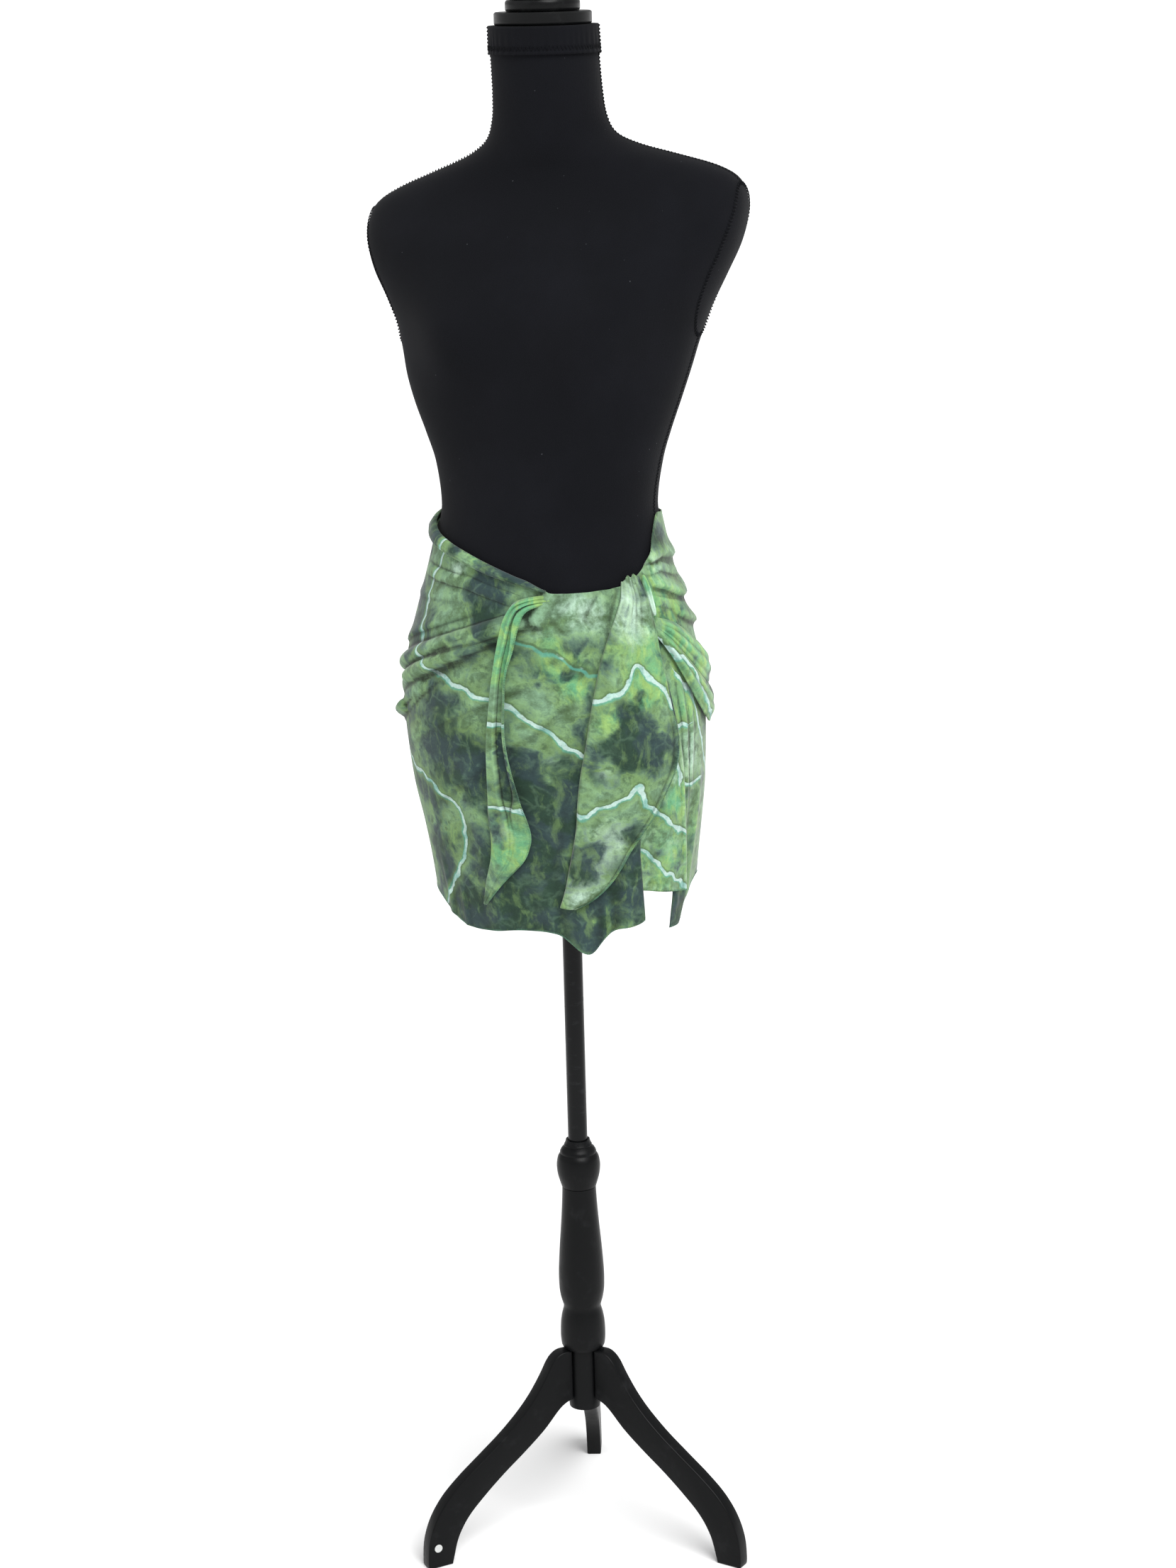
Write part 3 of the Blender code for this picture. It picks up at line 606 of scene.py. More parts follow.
@dataclass(frozen=True)
class DyedJersey:
    """Stretch jersey, dyed by melting colour over a bound cloth: mottled greens and pale veins."""

    olive: Colour = shade(84, 112, 74)
    sage: Colour = shade(130, 168, 136)
    pale: Colour = shade(192, 222, 202)
    leaf: Colour = shade(102, 168, 122)
    lime: Colour = shade(150, 190, 110)
    slate: Colour = shade(42, 62, 65)
    deep: Colour = shade(32, 58, 45)
    teal: Colour = shade(84, 164, 150)
    vein: Colour = shade(186, 214, 204)
    vein_half: float = 0.0021
    vein_wander: float = 0.0036
    rib: float = 0.0009

    def dyed(self, mix: Recipe, flat: object, mottle: object) -> Socket:
        """The mottled dye without its veins.

        Args:
            mix: The material's nodes.
            flat: The pattern coordinates.
            mottle: Fine noise that every tone's edge follows.

        Returns:
            The colour.
        """
        tone_slate, tone_fresh, tone_pale = mix.field("dye_tone")
        moved = mix.drift(flat, 24.0, 0.030)
        clouds = mix.noise(moved, 15.0, 4.0, 0.55, 0.5)
        blots = mix.noise(moved, 44.0, 5.0, 0.6, 0.6)
        feather = mix.noise(mix.stretch(moved, (1.0, 0.36, 1.0), 0.35), 90.0, 4.0, 0.6)
        petals, rims = mix.cells(mix.drift(flat, 55.0, 0.016), 46.0)

        spread = mix.total((blots, 0.8), (mottle, 0.40), (petals, 0.20))
        body = mix.blend(mix.band(spread, 0.46, 0.90), self.olive, self.sage)
        fresh = mix.total((tone_fresh, 0.50), (clouds, 0.8), (feather, 0.5), (mottle, 0.3))
        green = mix.blend(mix.band(feather, 0.40, 0.64), self.leaf, self.lime)
        body = mix.blend(mix.band(fresh, 0.86, 1.24), body, green)
        light = mix.total((tone_pale, 0.50), (blots, 0.7), (clouds, 0.4), (mottle, 0.4))
        body = mix.blend(mix.band(light, 0.84, 1.32), body, self.pale)

        cold = mix.total((tone_slate, 0.52), (clouds, 1.0), (blots, 0.7), (petals, 0.45), (mottle, 0.3))
        fringe = mix.times(mix.band(cold, 1.10, 1.20), mix.band(cold, 1.32, 1.21))
        body = mix.blend(mix.times(fringe, 0.28), body, self.lime)
        dark = mix.blend(mix.band(mix.noise(flat, 28.0, 3.0), 0.44, 0.58), self.slate, self.deep)
        ferns = mix.times(mix.band(feather, 0.50, 0.70), 0.46)
        dark = mix.blend(ferns, dark, mix.blend(0.4, self.olive, self.lime))
        body = mix.blend(mix.times(mix.band(cold, 1.14, 1.44), 0.97), body, dark)
        lace = mix.times(mix.band(rims, 0.10, 0.0), mix.band(blots, 0.44, 0.62))
        return mix.blend(mix.times(lace, 0.16), body, self.sage)

    def veined(self, mix: Recipe, flat: object, body: object) -> Socket:
        """The dye with its pale veins, each with a teal rim on one side and a bright halo.

        Args:
            mix: The material's nodes.
            flat: The pattern coordinates.
            body: The dye's colour.

        Returns:
            The colour.
        """
        vein_away, vein_gain, vein_far = mix.field("dye_vein")
        wander = mix.total((mix.noise(flat, 90.0, 3.0, 0.46), 2 * self.vein_wander), (vein_away, 1.0))
        away = mix.math("SUBTRACT", wander, self.vein_wander)
        near = mix.band(vein_far, 0.014, 0.008)
        swell = mix.noise(flat, 38.0, 2.0)
        wide = mix.math("MULTIPLY_ADD", swell, 1.7 * self.vein_half, 0.15 * self.vein_half)
        past = mix.math("DIVIDE", mix.math("ABSOLUTE", away), wide)
        present = mix.band(mix.total((vein_gain, 1.0), (mix.noise(flat, 70.0, 2.0), 0.9)), 0.82, 0.98)
        halo = mix.times(mix.band(vein_far, 0.0115, 0.0010), mix.band(vein_gain, 0.1, 0.5))
        body = mix.blend(mix.times(halo, 0.50), body, mix.blend(swell, self.olive, self.lime))
        rim = mix.times(mix.times(mix.band(past, 2.2, 1.05), near), 0.65)
        shadow = mix.blend(0.5, self.olive, self.deep)
        body = mix.blend(rim, body, mix.blend(mix.band(away, -0.001, 0.001), self.teal, shadow))
        core = mix.times(mix.times(mix.band(past, 1.15, 0.70), present), near)
        tinted = mix.blend(mix.band(mix.noise(flat, 60.0, 3.0), 0.46, 0.66), self.vein, self.teal)
        return mix.blend(core, body, mix.blend(0.62, self.vein, tinted))

    def make(self, name: str = "dyed_jersey") -> Material:
        """Builds the material.

        Args:
            name: The material's name.

        Returns:
            The material, which reads the pattern UV map and the vein, tone and hollow attributes;
            from the hollow it paints shade into creases and a highlight onto fold crests.
        """
        mix = Recipe(name)
        flat = mix.pattern_place()
        mottle = mix.noise(mix.drift(flat, 90.0, 0.006), 130.0, 4.0, 0.6)
        body = self.veined(mix, flat, self.dyed(mix, flat, mottle))

        cloth = mix.node("ShaderNodeHueSaturation")
        mix.put(cloth.inputs["Color"], body)
        # Painted shade in creases and a painted highlight on fold crests, both read from the hollow
        # attribute
        crease = mix.number("hollow")
        painted_crease_shade = mix.math("MAXIMUM", crease, 0.0)
        crest = mix.math("MINIMUM", crease, 0.0)
        speck = mix.noise(flat, 560.0, 3.0, 0.7)
        # worn mixes the cloth's fine specks and mottle with the painted crease shade and crest highlight
        worn = mix.total((speck, 0.50), (mottle, 0.58), (painted_crease_shade, -0.58), (crest, -0.16), (0.27, 1.0))
        mix.put(cloth.inputs["Value"], worn)
        knit = mix.bump(mix.ribs(flat, self.rib, 0.6), 0.00006, 0.3)
        fuzz = mix.bump(mix.noise(flat, 1500.0, 2.0), 0.00012, 0.5, knit)
        mix.surface(Base_Color=cloth.outputs[0], Roughness=0.86, Normal=fuzz)
        mix.surface(Sheen_Weight=0.25, Sheen_Roughness=0.45, Specular_IOR_Level=0.25)
        return mix.material


@dataclass(frozen=True)
class EdgeThread:
    """Overlock thread that took the dye of the cloth round it."""

    light: Colour = shade(98, 150, 122)
    dark: Colour = shade(40, 84, 64)
    bright: Colour = shade(170, 205, 96)

    def make(self, name: str = "edge_thread") -> Material:
        """Builds the material.

        Args:
            name: The material's name.

        Returns:
            The material.
        """
        mix = Recipe(name)
        place = mix.object_place()
        tint = mix.band(mix.noise(place, 46.0, 3.0, 0.6), 0.40, 0.62)
        twist = mix.noise(place, 2600.0, 2.0)
        colour = mix.blend(tint, self.dark, self.light)
        fresh = mix.band(mix.noise(place, 120.0, 2.0), 0.55, 0.7)
        colour = mix.blend(mix.times(fresh, 0.4), colour, self.bright)
        mix.surface(Base_Color=colour, Roughness=0.8, Normal=mix.bump(twist, 0.0001, 0.6))
        return mix.material


@dataclass(frozen=True)
class FormJersey:
    """The form's tight black jersey cover, with its knit, lint and a faint bloom."""

    black: Colour = shade(12, 13, 17)
    worn: Colour = shade(24, 25, 31)
    lint: Colour = shade(84, 86, 90)
    rib: float = 0.0010

    def make(self, name: str = "form_jersey") -> Material:
        """Builds the material.

        Args:
            name: The material's name.

        Returns:
            The material.
        """
        mix = Recipe(name)
        place = mix.object_place()
        bloom = mix.band(mix.noise(place, 9.0, 4.0, 0.6), 0.35, 0.75)
        colour = mix.blend(mix.times(bloom, 0.30), self.black, self.worn)
        specks = mix.band(mix.noise(place, 210.0, 1.0), 0.800, 0.835)
        colour = mix.blend(mix.times(specks, 0.5), colour, self.lint)
        knit = mix.bump(mix.ribs(mix.drift(place, 400.0, 0.0004), self.rib), 0.00010, 0.4)
        fuzz = mix.bump(mix.noise(place, 1300.0, 3.0, 0.7), 0.00018, 0.6, knit)
        mix.surface(Base_Color=colour, Roughness=0.9, Normal=fuzz)
        mix.surface(Sheen_Weight=0.03, Sheen_Roughness=0.5, Specular_IOR_Level=0.10)
        return mix.material


@dataclass(frozen=True)
class CapPlastic:
    """Moulded black plastic with faint turning marks and dust."""

    black: Colour = shade(13, 14, 15)
    dusty: Colour = shade(52, 54, 54)

    def make(self, name: str = "cap_plastic") -> Material:
        """Builds the material.

        Args:
            name: The material's name.

        Returns:
            The material.
        """
        mix = Recipe(name)
        place = mix.object_place()
        rings = mix.noise(mix.stretch(place, (0.05, 0.05, 1.0)), 900.0, 3.0)
        dust = mix.band(mix.noise(place, 60.0, 5.0, 0.7), 0.5, 0.8)
        colour = mix.blend(mix.times(dust, 0.18), self.black, self.dusty)
        mix.surface(Base_Color=colour, Roughness=mix.math("MULTIPLY_ADD", dust, 0.25, 0.30))
        mix.surface(Normal=mix.bump(rings, 0.00006, 0.5), Specular_IOR_Level=0.16)
        return mix.material


@dataclass(frozen=True)
class PaintedWood:
    """Satin black paint on turned or sawn wood: soft grain, rubbed spots and dust."""

    grain_scale: Colour = (1.0, 1.0, 0.06)
    black: Colour = shade(10, 11, 12)
    rubbed: Colour = shade(44, 45, 47)

    def make(self, name: str) -> Material:
        """Builds the material with its grain along the piece.

        Args:
            name: The material's name.

        Returns:
            The material.
        """
        mix = Recipe(name)
        place = mix.object_place()
        fibres = mix.noise(mix.stretch(mix.drift(place, 14.0, 0.01), self.grain_scale), 620.0, 4.0, 0.6)
        rubbed = mix.band(mix.noise(place, 34.0, 6.0, 0.68), 0.52, 0.78)
        dents = mix.noise(place, 150.0, 2.0)
        colour = mix.blend(mix.times(rubbed, 0.30), self.black, self.rubbed)
        rough = mix.total((rubbed, 0.22), (fibres, 0.14), (0.30, 1.0))
        relief = mix.bump(fibres, 0.00016, 0.5, mix.bump(dents, 0.0004, 0.4))
        mix.surface(Base_Color=colour, Roughness=rough, Normal=relief, Specular_IOR_Level=0.12)
        return mix.material


@dataclass(frozen=True)
class PolePaint:
    """Semi-gloss black enamel on steel tube, with faint rubbed rings."""

    black: Colour = shade(10, 11, 12)
    rubbed: Colour = shade(46, 48, 50)

    def make(self, name: str = "pole_paint") -> Material:
        """Builds the material.

        Args:
            name: The material's name.

        Returns:
            The material.
        """
        mix = Recipe(name)
        place = mix.object_place()
        rings = mix.band(mix.noise(mix.stretch(place, (0.4, 0.4, 1.0)), 160.0, 4.0, 0.6), 0.55, 0.7)
        peel = mix.noise(place, 300.0, 2.0)
        colour = mix.blend(mix.times(rings, 0.3), self.black, self.rubbed)
        mix.surface(Base_Color=colour, Roughness=mix.math("MULTIPLY_ADD", rings, 0.2, 0.24))
        mix.surface(Normal=mix.bump(peel, 0.00008, 0.4), Specular_IOR_Level=0.16)
        return mix.material


@dataclass(frozen=True)
class DiscPlastic:
    """A pale moulded pad with a faint sheen."""

    worn: Colour = shade(168, 170, 168)
    pale: Colour = shade(214, 216, 214)

    def make(self, name: str = "disc_plastic") -> Material:
        """Builds the material.

        Args:
            name: The material's name.

        Returns:
            The material.
        """
        mix = Recipe(name)
        place = mix.object_place()
        scuff = mix.noise(place, 500.0, 4.0)
        colour = mix.blend(scuff, self.worn, self.pale)
        mix.surface(Base_Color=colour, Roughness=0.45, Normal=mix.bump(scuff, 0.00005, 0.5))
        return mix.material


@dataclass(frozen=True)
class StudioFloor:
    """A plain pale floor."""

    low: Colour = shade(248, 248, 248)
    high: Colour = shade(250, 250, 250)

    def make(self, name: str = "studio_floor") -> Material:
        """Builds the material.

        Args:
            name: The material's name.

        Returns:
            The material.
        """
        mix = Recipe(name)
        soft = mix.noise(mix.object_place(), 0.7, 3.0)
        colour = mix.blend(soft, self.low, self.high)
        mix.surface(Base_Color=colour, Roughness=0.9, Specular_IOR_Level=0.1)
        return mix.material


# Mesh makers


def dress(piece: Piece, finish: Material, slot: str, *nodes: str) -> Piece:
    """Gives a piece its finish and place in the frame.

    Args:
        piece: The finished object.
        finish: Its material.
        slot: The record's material slot; not used.
        nodes: The CAD nodes that it stands for.

    Returns:
        The same object.
    """
    piece.data.materials.clear()
    piece.data.materials.append(finish)
    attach(piece, "root")
    if nodes:
        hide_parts(*nodes)
    LOG.info("%s: %d faces", piece.name, len(piece.data.polygons))
    return piece


def new_piece(name: str, shape: Shape) -> Piece:
    """Ends a bmesh as a smooth-shaded object in the scene.

    Args:
        name: The piece's name.
        shape: The bmesh, which is freed.

    Returns:
        The piece.
    """
    mesh = bpy.data.meshes.new(name)
    shape.to_mesh(mesh)
    shape.free()
    mesh.shade_smooth()
    piece = bpy.data.objects.new(name, mesh)
    bpy.context.scene.collection.objects.link(piece)
    return piece


def unit_grid(across: int, down: int) -> tuple[Shape, Array, Array]:
    """A square grid and the shares across and down of its points.

    Args:
        across: Steps across.
        down: Steps down.

    Returns:
        The grid and the two rows of shares.
    """
    shape = bmesh.new()
    bmesh.ops.create_grid(shape, x_segments=across, y_segments=down, size=1.0)
    places = np.array([vert.co[:2] for vert in shape.verts])
    return shape, (places[:, 0] + 1) / 2, (places[:, 1] + 1) / 2


def hollows(points: Array, normals: Array, across: Array, down: Array) -> Array:
    """How far each point of a grid lies in a crease: 1 in a full one, below 0 on a crest.

    Args:
        points: The grid's points.
        normals: Their normals.
        across: Their shares across.
        down: Their shares down.

    Returns:
        One number a point, in the points' order.
    """
    order = np.lexsort((np.round(across, 6), np.round(down, 6)))
    wide = len(np.unique(np.round(across, 6)))
    table = points[order].reshape(-1, wide, 3)
    for _ in range(SMOOTHING_ROUNDS):
        padded = np.pad(table, ((1, 1), (1, 1), (0, 0)), mode="reflect", reflect_type="odd")
        beside = padded[:-2, 1:-1] + padded[2:, 1:-1] + padded[1:-1, :-2] + padded[1:-1, 2:]
        table = beside / 8 + table / 2
    depth = np.empty(len(points))
    depth[order] = np.einsum("ij,ij->i", table.reshape(-1, 3) - points[order], normals[order])
    return np.clip(depth / FULL_HOLLOW, -1.0, 1.0)


def make_cloth(
    name: str, size: tuple[int, int], place: Place, plan: DyePlan, closed: bool = False
) -> Piece:
    """A cloth stretch laid over the form, with its pattern and its dye fields.

    Args:
        name: The piece's name.
        size: Grid steps across and down.
        place: Gives the points of shares (across, down).
        plan: The dye.
        closed: The two side borders meet.

    Returns:
        The piece, with a Solidify for the cloth's thickness.
    """
    shape, across, down = unit_grid(*size)
    laid = place(across, down)
    for vert, point in zip(shape.verts, laid.points):
        vert.co = point
    shape.normal_update()
    middle = Vector((0.0, FORM_Y, 0.0))
    outward = sum((face.calc_center_median() - middle).xy.dot(face.normal.xy) for face in shape.faces)
    if outward < 0:
        bmesh.ops.reverse_faces(shape, faces=shape.faces)
    vein_layer = shape.verts.layers.float_vector.new("dye_vein")
    tone_layer = shape.verts.layers.float_vector.new("dye_tone")
    hollow_layer = shape.verts.layers.float.new("hollow")
    shape.normal_update()
    normals = np.array([vert.normal for vert in shape.verts])
    veins = plan.vein_field(laid.angle, laid.height)
    tones = plan.tone_field(laid.angle, laid.height)
    depths = hollows(laid.points, normals, across, down)
    for vert, vein, tone, depth in zip(shape.verts, veins, tones, depths):
        vert[vein_layer] = vein
        vert[tone_layer] = tone
        vert[hollow_layer] = depth
    pattern = shape.loops.layers.uv.new("pattern")
    shape.verts.index_update()
    for face in shape.faces:
        for loop in face.loops:
            loop[pattern].uv = laid.pattern[loop.vert.index]
    if closed:
        bmesh.ops.remove_doubles(shape, verts=shape.verts, dist=1e-5)
    piece = new_piece(name, shape)
    wall = piece.modifiers.new("cloth", "SOLIDIFY")
    wall.thickness = CLOTH
    wall.offset = 0.0
    return piece


def make_rings(name: str, rings: Array) -> Piece:
    """A closed body lofted through rings of points, from its lowest to its highest.

    Args:
        name: The piece's name.
        rings: Rings of points, all of one length.

    Returns:
        The piece.
    """
    count, around = rings.shape[:2]
    shape, across, down = unit_grid(around, count - 1)
    column = np.rint(across * around).astype(int) % around
    row = np.rint(down * (count - 1)).astype(int)
    for vert, i, j in zip(shape.verts, row, column):
        vert.co = rings[i, j]
    bmesh.ops.remove_doubles(shape, verts=shape.verts, dist=1e-6)
    bmesh.ops.recalc_face_normals(shape, faces=shape.faces)
    return new_piece(name, shape)


def rounded_line(
    points: Table, step: float, corner: float, closed: bool = False
) -> list[tuple[float, float]]:
    """Fills an outline in with a smooth curve between its sharp corners.

    Args:
        points: The outline's points.
        step: The wanted spacing.
        corner: Turns sharper than this many degrees stay sharp.
        closed: The last point joins the first.

    Returns:
        The finer outline.
    """
    flat = [Vector(point) for point in points]
    count = len(flat)

    def sharp(i: int) -> bool:
        """Whether the outline turns sharply at a point."""
        if not closed and i in (0, count - 1):
            return True
        before = flat[i] - flat[i - 1]
        after = flat[(i + 1) % count] - flat[i]
        return math.degrees(before.angle(after)) > corner

    corners = [sharp(i) for i in range(count)]
    out: list[tuple[float, float]] = []
    for i in range(count if closed else count - 1):
        j = (i + 1) % count
        start, stop = flat[i], flat[j]
        before = start * 2 - stop if corners[i] else flat[i - 1]
        after = stop * 2 - start if corners[j] else flat[(j + 1) % count]
        parts = max(1, round((stop - start).length / step))
        for k in range(parts):
            t = k / parts
            bend = (
                start * 2
                + (stop - before) * t
                + (before * 2 - start * 5 + stop * 4 - after) * t**2
                + (start * 3 - before - stop * 3 + after) * t**3
            ) * 0.5
            out.append((bend.x, bend.y))
    if not closed:
        out.append(tuple(flat[-1]))
    return out


def make_turned(name: str, profile: Table, base: Vector, closed: bool = False) -> Piece:
    """A turned piece from its profile of radius and height, from the top down.

    Args:
        name: The piece's name.
        profile: Its profile.
        base: Where its axis meets the floor.
        closed: The profile is a ring.

    Returns:
        The piece.
    """
    shape = bmesh.new()
    line = rounded_line(profile, TURNED_SPACING, TURNED_CORNER, closed)
    verts = [shape.verts.new((radius, 0.0, height)) for radius, height in line]
    pairs = zip(verts, verts[1:] + verts[:1] if closed else verts[1:])
    edges = [shape.edges.new(pair) for pair in pairs]
    bmesh.ops.spin(
        shape,
        geom=verts + edges,
        cent=(0.0, 0.0, 0.0),
        axis=(0.0, 0.0, 1.0),
        angle=2 * math.pi,
        steps=TURNED_STEPS,
        use_merge=True,
    )
    bmesh.ops.remove_doubles(shape, verts=shape.verts, dist=1e-6)
    bmesh.ops.recalc_face_normals(shape, faces=shape.faces)
    bmesh.ops.translate(shape, verts=shape.verts, vec=base)
    piece = new_piece(name, shape)
    piece.data.set_sharp_from_angle(angle=math.radians(40))
    return piece


def round_over(shape: Shape, rims: list[bmesh.types.BMEdge], radius: float) -> None:
    """Rounds edges over."""
    bmesh.ops.bevel(
        shape, geom=rims, offset=radius, segments=3, profile=0.5, affect="EDGES", material=-1
    )


def make_thread(name: str, runs: Sequence[Array], radius: float) -> Piece:
    """Thread along runs of points, as one mesh of four-sided tubes.

    Args:
        name: The piece's name.
        runs: Points along each run.
        radius: Half the thread's thickness.

    Returns:
        The piece.
    """
    curve = bpy.data.curves.new(name, "CURVE")
    curve.dimensions = "3D"
    curve.bevel_depth = radius
    curve.bevel_resolution = 0
    curve.use_fill_caps = True
    for run in runs:
        line = curve.splines.new("POLY")
        line.points.add(len(run) - 1)
        line.points.foreach_set("co", np.column_stack([run, np.ones(len(run))]).ravel())
    guide = bpy.data.objects.new(name + "_guide", curve)
    bpy.context.scene.collection.objects.link(guide)
    bpy.context.view_layer.update()
    mesh = bpy.data.meshes.new_from_object(guide)
    bpy.data.objects.remove(guide)
    shape = bmesh.new()
    shape.from_mesh(mesh)
    bpy.data.meshes.remove(mesh)
    bmesh.ops.remove_doubles(shape, verts=shape.verts, dist=1e-7)
    bmesh.ops.recalc_face_normals(shape, faces=shape.faces)
    return new_piece(name, shape)


@dataclass(frozen=True)
class Overlock:
    """Loops of thread over a cut edge or along a seam.

    Attributes:
        pitch: Distance from loop to loop.
        reach: Half the loop's width across the edge.
        rise: Half its height off the cloth.
        inset: How far the loops' middle lies inside the edge.
        radius: Half the thread's thickness.
    """

    pitch: float = 0.0017
    reach: float = 0.0011
    rise: float = 0.0008
    inset: float = 0.0008
    radius: float = 0.00022

    def loops(self, edge: Array, inner: Array) -> Array:
        """Thread points round an edge.

        Args:
            edge: Points along the edge.
            inner: The same number of points a little inside it.

        Returns:
            The thread's points.
        """
        steps = np.linalg.norm(np.diff(edge, axis=0), axis=1)
        length = np.concatenate([[0.0], np.cumsum(steps)])
        turns = max(2, round(length[-1] / self.pitch))
        at = np.linspace(0.0, length[-1], turns * LOOP_POINTS + 1)
        line = np.column_stack([np.interp(at, length, edge[:, k]) for k in range(3)])
        within = np.column_stack([np.interp(at, length, inner[:, k]) for k in range(3)])
        out = line - within
        out /= np.linalg.norm(out, axis=1, keepdims=True)
        tangent = np.gradient(line, axis=0)
        normal = np.cross(tangent, out)
        normal /= np.linalg.norm(normal, axis=1, keepdims=True)
        turn = np.arange(len(at)) * 2 * math.pi / LOOP_POINTS
        wide = self.reach * np.cos(turn)[:, None] - self.inset
        return line + out * wide + normal * self.rise * np.sin(turn)[:, None]


# The sarong


